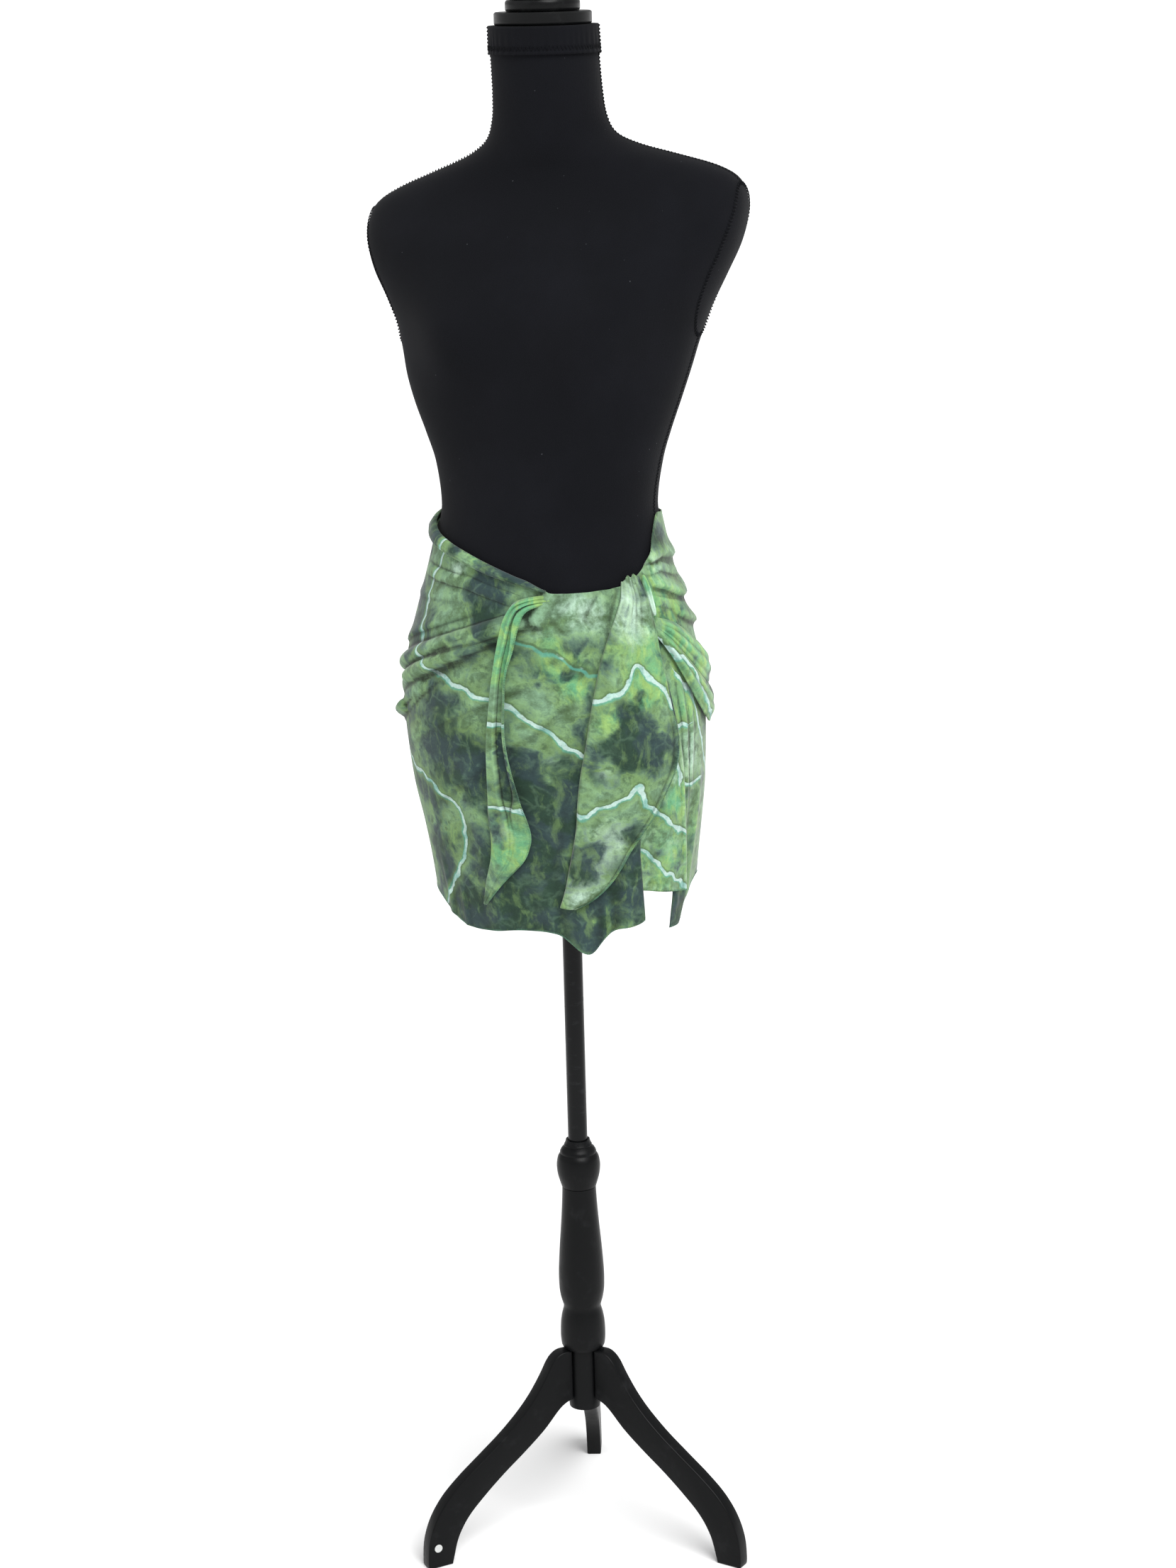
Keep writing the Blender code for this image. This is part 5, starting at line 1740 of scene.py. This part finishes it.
@dataclass
class SarongMaker:
    sarong: Sarong
    cloth: Material
    thread: Material
    edge_points: int = 400
    edge_share: float = 0.01

    def cuts(self) -> tuple[Cut, ...]:
        """The seven stretches."""
        sarong = self.sarong
        wide = sarong.strip_place(sarong.tail_wide, sarong.wide_off, 0.9, sarong.tail_peaks)
        narrow = sarong.strip_place(sarong.tail_narrow, sarong.narrow_off, 1.4)
        drape = sarong.strip_place(sarong.hip_drape, sarong.drape_off, 1.9)
        inner = sarong.strip_place(sarong.cascade, sarong.cascade_off, 2.4)
        hem, wide_edge = (Side.START, 0.0, 1.0), (Side.RIGHT, 0.40, 0.985)
        narrow_edge, inner_edge = (Side.RIGHT, 0.22, 0.985), (Side.END, 0.02, 1.0)
        return (
            Cut("wrap_cloth", "wrap_body", (292, 164), sarong.wrap_place, WRAP_DYE,
                (0.852, 0.407), 0.304, "draped", (hem,)),
            Cut("roll_cloth", "waist_roll", (260, 18), sarong.roll_place, ROLL_DYE,
                (0.472, 0.024), 0.0094, "folded"),
            Cut("wide_end_cloth", "tail_wide", (48, 150), wide, WIDE_DYE,
                (0.106, 0.385), 0.0247, "hung", (wide_edge,)),
            Cut("narrow_end_cloth", "tail_narrow", (48, 190), narrow, NARROW_DYE,
                (0.048, 0.361), 0.0108, "hung", (narrow_edge,)),
            Cut("hip_drape_cloth", "hip_drape", (40, 110), drape, DRAPE_DYE,
                (0.085, 0.248), 0.0111, "gathered"),
            Cut("inner_panel_cloth", "cascade_fold", (50, 110), inner, CASCADE_DYE,
                (0.068, 0.238), 0.0118, "hung", (inner_edge,)),
            Cut("tie_cloth", "knot", (40, 30), sarong.knot_place, KNOT_DYE,
                (0.022, 0.046), 0.0008, "gathered", closed=True),
        )

    def edge_run(self, place: Place, side: Side, start: float, stop: float) -> Array:
        """The thread loops along part of one border.

        Args:
            place: The stretch's place function.
            side: The border.
            start: The share of it where the loops start.
            stop: The share where they end.

        Returns:
            The thread's points.
        """
        along = np.linspace(start, stop, self.edge_points)
        rim = np.zeros_like(along) if side in (Side.LEFT, Side.START) else np.ones_like(along)
        inside = rim + (self.edge_share if rim[0] == 0 else -self.edge_share)
        if side in (Side.LEFT, Side.RIGHT):
            edge, inner = place(rim, along).points, place(inside, along).points
        else:
            edge, inner = place(along, rim).points, place(along, inside).points
        return self.sarong.overlock.loops(edge, inner)

    def stitch(self, cut: Cut) -> list[Piece]:
        """Makes the overlock on a stretch's cut edges, if it has any.

        Args:
            cut: The stretch.

        Returns:
            The stitching, or an empty list.
        """
        runs = [self.edge_run(cut.place, *side) for side in cut.stitched]
        if not runs:
            return []
        stitches = make_thread(cut.name + "_overlock", runs, self.sarong.overlock.radius)
        return [dress(stitches, self.thread, "dyed_jersey")]

    def build(self) -> None:
        for cut in self.cuts():
            piece = make_cloth(cut.name, cut.grid, cut.place, cut.plan, cut.closed)
            dress(piece, self.cloth, "dyed_jersey", cut.node)
            stitches = self.stitch(cut)


# The dress form


@dataclass
class DressForm:
    """The limbless form: cover, seams, neck band and caps."""

    bottom: float = 0.775
    top: float = 1.626
    bottom_round: float = 0.018
    socket_radius: float = 0.0109
    socket_height: float = 0.835
    sides: int = 160
    base_shares: tuple[float, ...] = (0.08, 0.35, 0.65)
    ring_step: float = 0.0042
    top_share: float = 0.6
    band_height: float = 0.027
    band_lift: float = 0.0013
    band_gathers: int = 46
    zigzag_points: int = 181
    zigzag_height: float = 0.0060
    zigzag_reach: float = 0.0024
    zigzag_radius: float = 0.00035
    stitch: Overlock = Overlock(pitch=0.0036, reach=0.0022, rise=0.0007, inset=0.0, radius=0.00065)
    seam_points: int = 300
    neck_points: int = 200
    side_seam_angle: float = 88.0
    neck_turn: float = 9.0
    neck_heights: tuple[float, float] = (1.48, 1.54)
    plate_height: float = 1.388
    plate_half_height: float = 0.070
    plate_half_angle: float = 19.0
    flange: Table = (
        (0, 1.639), (0.047, 1.639), (0.0485, 1.6375), (0.0485, 1.628), (0.0475, 1.6265), (0, 1.6265),
    )
    finial: Table = (
        (0, 1.68), (0.018, 1.679), (0.026, 1.675), (0.029, 1.67), (0.029, 1.666), (0.027, 1.664),
        (0.033, 1.662), (0.034, 1.66), (0.034, 1.654), (0.031, 1.652), (0.036, 1.65), (0.037, 1.648),
        (0.037, 1.641), (0.036, 1.6394), (0, 1.6394),
    )

    def body_rings(self) -> Array:
        """Rings of the cover, from the pole's socket round the base and up to the neck."""
        angles = np.linspace(0.0, 360.0, self.sides, endpoint=False)
        turn = np.radians(angles)
        spoke = np.stack([np.sin(turn), -np.cos(turn)], axis=-1)

        def socket_ring(z: float, radius: float) -> Array:
            """A level ring round the pole."""
            flat = spoke * radius + np.array([0.0, POLE_Y])
            return np.column_stack([flat, np.full(self.sides, z)])

        rings = [socket_ring(self.socket_height, 0.0), socket_ring(self.socket_height, self.socket_radius)]
        rings.append(socket_ring(self.bottom, self.socket_radius))
        edge = FORM.points(angles, np.full(self.sides, self.bottom), -self.bottom_round)
        for share in self.base_shares:
            rings.append(rings[2] + (edge - rings[2]) * share)
        for turned in range(0, 91, 10):
            z = self.bottom + self.bottom_round * (1 - math.cos(math.radians(turned)))
            inset = self.bottom_round * (1 - math.sin(math.radians(turned)))
            rings.append(FORM.points(angles, np.full(self.sides, z), -inset))
        for z in np.arange(self.bottom + self.bottom_round + 0.004, self.top - 0.002, self.ring_step):
            rings.append(FORM.points(angles, np.full(self.sides, z), 0.0))
        rim = FORM.points(angles, np.full(self.sides, self.top), 0.0)
        rings.append(rim)
        rings.append(rim.mean(axis=0) + (rim - rim.mean(axis=0)) * self.top_share)
        rings.append(np.repeat(rim.mean(axis=0)[None], self.sides, axis=0))
        return np.stack(rings)

    def seam(self, angles: Array, heights: Array) -> Array:
        """Thread loops along a seam on the cover, and over the neck band.

        Args:
            angles: Degrees from the front, along the seam.
            heights: Heights along it.

        Returns:
            The thread's points.
        """
        band_foot = self.top - self.band_height
        over = (self.band_lift + 0.0008) * ramp(heights, band_foot - 0.002, band_foot)
        line = FORM.points(angles, heights, 0.0001 + over)
        lifted = FORM.points(angles, heights, 0.0051 + over)
        tangent = np.gradient(line, axis=0)
        beside = np.cross(tangent, lifted - line)
        beside /= np.linalg.norm(beside, axis=1, keepdims=True)
        return self.stitch.loops(line, line - beside * 0.003)

    def seams(self) -> list[Array]:
        """The side seams, the arm plates' seams, and the seams from them to the top of the neck."""
        low = self.plate_height - self.plate_half_height
        high = self.plate_height + self.plate_half_height
        below = np.linspace(self.bottom + 0.03, low, self.seam_points)
        above = np.linspace(high, self.top - 0.001, self.neck_points)
        turn = np.linspace(0.0, 2 * math.pi, self.seam_points)
        round_plate = self.side_seam_angle + self.plate_half_angle * np.sin(turn)
        plate_z = self.plate_height - self.plate_half_height * np.cos(turn)
        runs = []
        for side in (1.0, -1.0):
            runs.append(self.seam(side * np.full_like(below, self.side_seam_angle), below))
            runs.append(self.seam(side * round_plate, plate_z))
            runs.append(self.seam(side * 90.0 + self.neck_turn * ramp(above, *self.neck_heights), above))
        return runs

    def band_place(self, across: Array, down: Array) -> Laid:
        """Lays the band round the neck, with soft gathers.

        Args:
            across: Shares across.
            down: Shares down.

        Returns:
            The laid places.
        """
        angle = across * 360.0
        z = self.top - self.band_height + self.band_height * down
        turn = np.radians(angle)
        ease = 0.0003 * np.cos(turn * self.band_gathers + 1.4 * np.sin(turn * 7))
        off = self.band_lift + ease * bell(down, 0.35, 0.4) + 0.0006 * bell(down, 0.0, 0.12)
        return Laid(FORM.points(angle, z, off), np.column_stack([angle * DEGREE, z]), angle, z)

    def zigzag(self) -> Array:
        """The zigzag stitch near the band's lower edge."""
        step = np.arange(self.zigzag_points)
        swing = self.zigzag_reach * np.where(step % 2, 1.0, -1.0)
        height = self.top - self.band_height + self.zigzag_height + swing
        return FORM.points(step * 360.0 / (self.zigzag_points - 1), height, self.band_lift + 0.0010)

    def build(self, jersey: Material, plastic: Material) -> None:
        """Makes and dresses the form.

        Args:
            jersey: The cover's finish.
            plastic: The caps' finish.
        """
        body = make_rings("form_cover", self.body_rings())
        body.data.set_sharp_from_angle(angle=math.radians(50))
        dress(body, jersey, "form_jersey", "form_body")
        band = make_cloth("neck_band_cloth", (320, 12), self.band_place, DyePlan(), closed=True)
        dress(band, jersey, "form_jersey", "neck_band")
        dress(make_thread("form_seams", self.seams(), self.stitch.radius), jersey, "form_jersey")
        zigzag = make_thread("neck_zigzag", [self.zigzag()], self.zigzag_radius)
        dress(zigzag, jersey, "form_jersey")
        across, deep = smooth_rows(FORM.sections, np.array(self.top))[2:4]
        base = Vector((across, deep + POLE_Y, 0.0))
        for name, profile in (("neck_flange", self.flange), ("neck_finial", self.finial)):
            dress(make_turned(name + "_cap", profile, base), plastic, "cap_plastic", name)


# The stand


@dataclass
class Stand:
    """The pole, the turned column and its three flat legs."""

    pole_radius: float = 0.0104
    pole_foot: float = 0.4026
    pole_top: float = 0.825
    leg_thick: float = 0.016
    leg_round: float = 0.0016
    leg_spacing: float = 0.004
    leg_corner: float = 38.0
    leg_angles: tuple[tuple[str, float], ...] = (
        ("leg_left", -46.0),
        ("leg_right", 74.0),
        ("leg_back", 194.0),
    )
    disc_radius: float = 0.0045
    disc_thick: float = 0.001
    disc_distance: float = 0.1875
    disc_height: float = 0.0235
    disc_round: float = 0.0003
    disc_rim: float = 0.0009
    disc_dish: float = 0.0002
    disc_gap: float = 0.0004
    collar: Table = (
        (0.0109, 0.456), (0.0128, 0.456), (0.0136, 0.453), (0.015, 0.4505), (0.0146, 0.449),
        (0.0178, 0.446), (0.0196, 0.4425), (0.0192, 0.4408), (0.0218, 0.437), (0.0233, 0.43),
        (0.0234, 0.424), (0.0226, 0.417), (0.0205, 0.409), (0.0186, 0.403), (0.0109, 0.403),
    )
    column: Table = (
        (0, 0.4022), (0.0182, 0.4022), (0.0184, 0.396), (0.0192, 0.38), (0.0208, 0.358),
        (0.0228, 0.334), (0.0241, 0.315), (0.0247, 0.302), (0.0247, 0.292), (0.0242, 0.282),
        (0.0224, 0.272), (0.0204, 0.265), (0.0204, 0.2615), (0.0222, 0.2545), (0.0237, 0.246),
        (0.0244, 0.235), (0.0243, 0.226), (0.0234, 0.2185), (0.0222, 0.216), (0, 0.216),
    )
    post: Table = (
        (0, 0.2155), (0.0174, 0.2155), (0.0174, 0.151), (0.0158, 0.147), (0.012, 0.144),
        (0.006, 0.1428), (0, 0.1425),
    )
    leg_outline: Table = (
        (0.0178, 0.215), (0.029, 0.215), (0.0365, 0.2115), (0.043, 0.2045), (0.052, 0.189),
        (0.065, 0.17), (0.08, 0.153), (0.1015, 0.1335), (0.1265, 0.1145), (0.1525, 0.095),
        (0.1735, 0.076), (0.1885, 0.0545), (0.197, 0.0305), (0.199, 0.006), (0.198, 0), (0.17, 0),
        (0.168, 0.008), (0.1615, 0.03), (0.1485, 0.051), (0.128, 0.071), (0.104, 0.091), (0.0785, 0.11),
        (0.0545, 0.1295), (0.035, 0.1495), (0.025, 0.156), (0.0178, 0.158),
    )

    def make_leg(self, name: str, angle: float) -> Piece:
        """One S-curved leg cut from board, its rims rounded over, turned to its place.

        Args:
            name: The CAD node's name.
            angle: Where it points, in degrees from the front.

        Returns:
            The leg.
        """
        shape = bmesh.new()
        line = rounded_line(self.leg_outline, self.leg_spacing, self.leg_corner, closed=True)
        face = shape.faces.new([shape.verts.new((x, 0.0, z)) for x, z in line])
        made = bmesh.ops.extrude_face_region(shape, geom=[face])
        moved = [item for item in made["geom"] if isinstance(item, bmesh.types.BMVert)]
        bmesh.ops.translate(shape, verts=moved, vec=(0.0, self.leg_thick, 0.0))
        bmesh.ops.translate(shape, verts=shape.verts, vec=(0.0, -self.leg_thick / 2, 0.0))
        bmesh.ops.recalc_face_normals(shape, faces=shape.faces)
        flat = [edge for edge in shape.edges if abs(edge.verts[0].co.y - edge.verts[1].co.y) < 1e-6]
        round_over(shape, [edge for edge in flat if edge.calc_face_angle(0.0) > 1.0], self.leg_round)
        turn = Matrix.Rotation(math.radians(angle - 90), 4, "Z")
        bmesh.ops.transform(shape, verts=shape.verts, matrix=Matrix.Translation((0, POLE_Y, 0)) @ turn)
        piece = new_piece(name + "_board", shape)
        piece.data.set_sharp_from_angle(angle=math.radians(35))
        return piece

    def make_disc(self) -> Piece:
        """The small plain disc on the left leg, with a rolled rim."""
        angle = math.radians(self.leg_angles[0][1])
        outward = Vector((math.sin(angle), -math.cos(angle), 0.0))
        side = Vector((math.cos(angle), math.sin(angle), 0.0))
        shape = bmesh.new()
        radius = self.disc_radius
        bmesh.ops.create_cone(
            shape, cap_ends=True, segments=48, radius1=radius, radius2=radius, depth=self.disc_thick
        )
        rims = [edge for edge in shape.edges if edge.calc_face_angle(0.0) > 1.0]
        round_over(shape, rims, self.disc_round)
        caps = [face for face in shape.faces if len(face.verts) > 8]
        bmesh.ops.inset_region(shape, faces=caps, thickness=self.disc_rim, depth=-self.disc_dish)
        clear = self.leg_thick / 2 + self.disc_gap + self.disc_thick / 2
        place = outward * self.disc_distance + side * clear + Vector((0.0, POLE_Y, self.disc_height))
        turn = side.to_track_quat("Z", "Y").to_matrix().to_4x4()
        bmesh.ops.transform(shape, verts=shape.verts, matrix=Matrix.Translation(place) @ turn)
        piece = new_piece("foot_disc_pad", shape)
        piece.data.set_sharp_from_angle(angle=math.radians(40))
        return piece

    def build(
        self,
        turned: Material,
        sawn: Material,
        enamel: Material,
        pale: Material,
    ) -> None:
        """Makes and dresses the stand.

        Args:
            turned: Finish of the turned wood.
            sawn: Finish of the legs.
            enamel: Finish of the pole.
            pale: Finish of the disc.
        """
        base = Vector((0.0, POLE_Y, 0.0))
        pole = (
            (0.0, self.pole_top),
            (self.pole_radius, self.pole_top),
            (self.pole_radius, self.pole_foot),
            (0.0, self.pole_foot),
        )
        dress(make_turned("pole_tube", pole, base), enamel, "pole_metal", "pole")
        for name, profile, closed, node in (
            ("turned_collar", self.collar, True, "stand_collar"),
            ("turned_column", self.column, False, "stand_column"),
            ("hub_post", self.post, False, "stand_post"),
        ):
            dress(make_turned(name, profile, base, closed), turned, "black_wood", node)
        for name, angle in self.leg_angles:
            dress(self.make_leg(name, angle), sawn, "black_wood", name)
        dress(self.make_disc(), pale, "disc_plastic", "foot_disc")


# The studio


@dataclass
class Studio:
    """Floor, light and camera."""

    distance: float = 3.3
    height: float = 1.72
    azimuth: float = 17.0
    pitch: float = 14.76
    roll: float = 1.5
    focal_px: float = 4600.0
    frame_px: float = 2212.0
    aside_px: float = 29.3
    sensor: float = 36.0
    floor_half: float = 600.0
    surround: float = 0.54
    lamps: tuple[tuple[str, float, float, Colour], ...] = (
        ("key", 3.15, 40.0, (0.56, -0.58, 1.00)),
        ("fill", 0.30, 60.0, (-0.9, -0.6, 0.5)),
    )

    def camera(self) -> None:
        """Places the camera at the photograph's angle."""
        turn = math.radians(self.azimuth)
        yaw = math.atan(self.aside_px / self.focal_px)
        pitch = math.radians(self.pitch)
        roll = math.radians(self.roll)
        right = Vector((math.cos(turn), math.sin(turn), 0.0))
        away = Vector((-math.sin(turn), math.cos(turn), 0.0))
        level = away * math.cos(yaw) + right * math.sin(yaw)
        side = right * math.cos(yaw) - away * math.sin(yaw)
        look = level * math.cos(pitch) - Vector((0.0, 0.0, math.sin(pitch)))
        top = side.cross(look)
        across = side * math.cos(roll) - top * math.sin(roll)
        up = side * math.sin(roll) + top * math.cos(roll)
        data = bpy.data.cameras.new("camera")
        data.sensor_width = self.sensor
        data.lens = self.focal_px / self.frame_px * self.sensor
        data.clip_end = 2000.0
        camera = bpy.data.objects.new("camera", data)
        camera.matrix_world = Matrix((across, up, -look)).transposed().to_4x4()
        camera.location = (
            self.distance * math.sin(turn),
            POLE_Y - self.distance * math.cos(turn),
            self.height,
        )
        bpy.context.scene.collection.objects.link(camera)
        bpy.context.scene.camera = camera

    def floor(self) -> None:
        """Lays the pale floor."""
        shape = bmesh.new()
        bmesh.ops.create_grid(shape, x_segments=8, y_segments=8, size=self.floor_half)
        floor = new_piece("studio_floor", shape)
        floor.data.materials.append(StudioFloor().make())

    def lights(self) -> None:
        """A white surround, a broad soft light from the front right and a weaker one from the left."""
        world = bpy.data.worlds.new("surround")
        world.use_nodes = True
        background = world.node_tree.nodes["Background"]
        background.inputs["Color"].default_value = (1.0, 1.0, 1.0, 1.0)
        background.inputs["Strength"].default_value = self.surround
        bpy.context.scene.world = world
        for name, strength, spread, direction in self.lamps:
            data = bpy.data.lights.new(name, "SUN")
            data.energy = strength
            data.angle = math.radians(spread)
            lamp = bpy.data.objects.new(name, data)
            lamp.rotation_euler = Vector(direction).to_track_quat("Z", "Y").to_euler()
            bpy.context.scene.collection.objects.link(lamp)

    def build(self) -> None:
        """Sets the studio up."""
        self.floor()
        self.lights()
        self.camera()
        bpy.context.scene.view_settings.view_transform = "Standard"


def main() -> None:
    """Builds every class in order."""
    logging.basicConfig(level=logging.INFO, format="%(message)s")
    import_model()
    Studio().build()
    jersey = FormJersey().make()
    DressForm().build(jersey, CapPlastic().make())
    turned = PaintedWood().make("turned_wood_paint")
    sawn = PaintedWood((0.35, 0.35, 0.35)).make("sawn_wood_paint")
    Stand().build(turned, sawn, PolePaint().make(), DiscPlastic().make())
    SarongMaker(Sarong(), DyedJersey().make(), EdgeThread().make()).build()


if __name__ == "__main__":
    main()
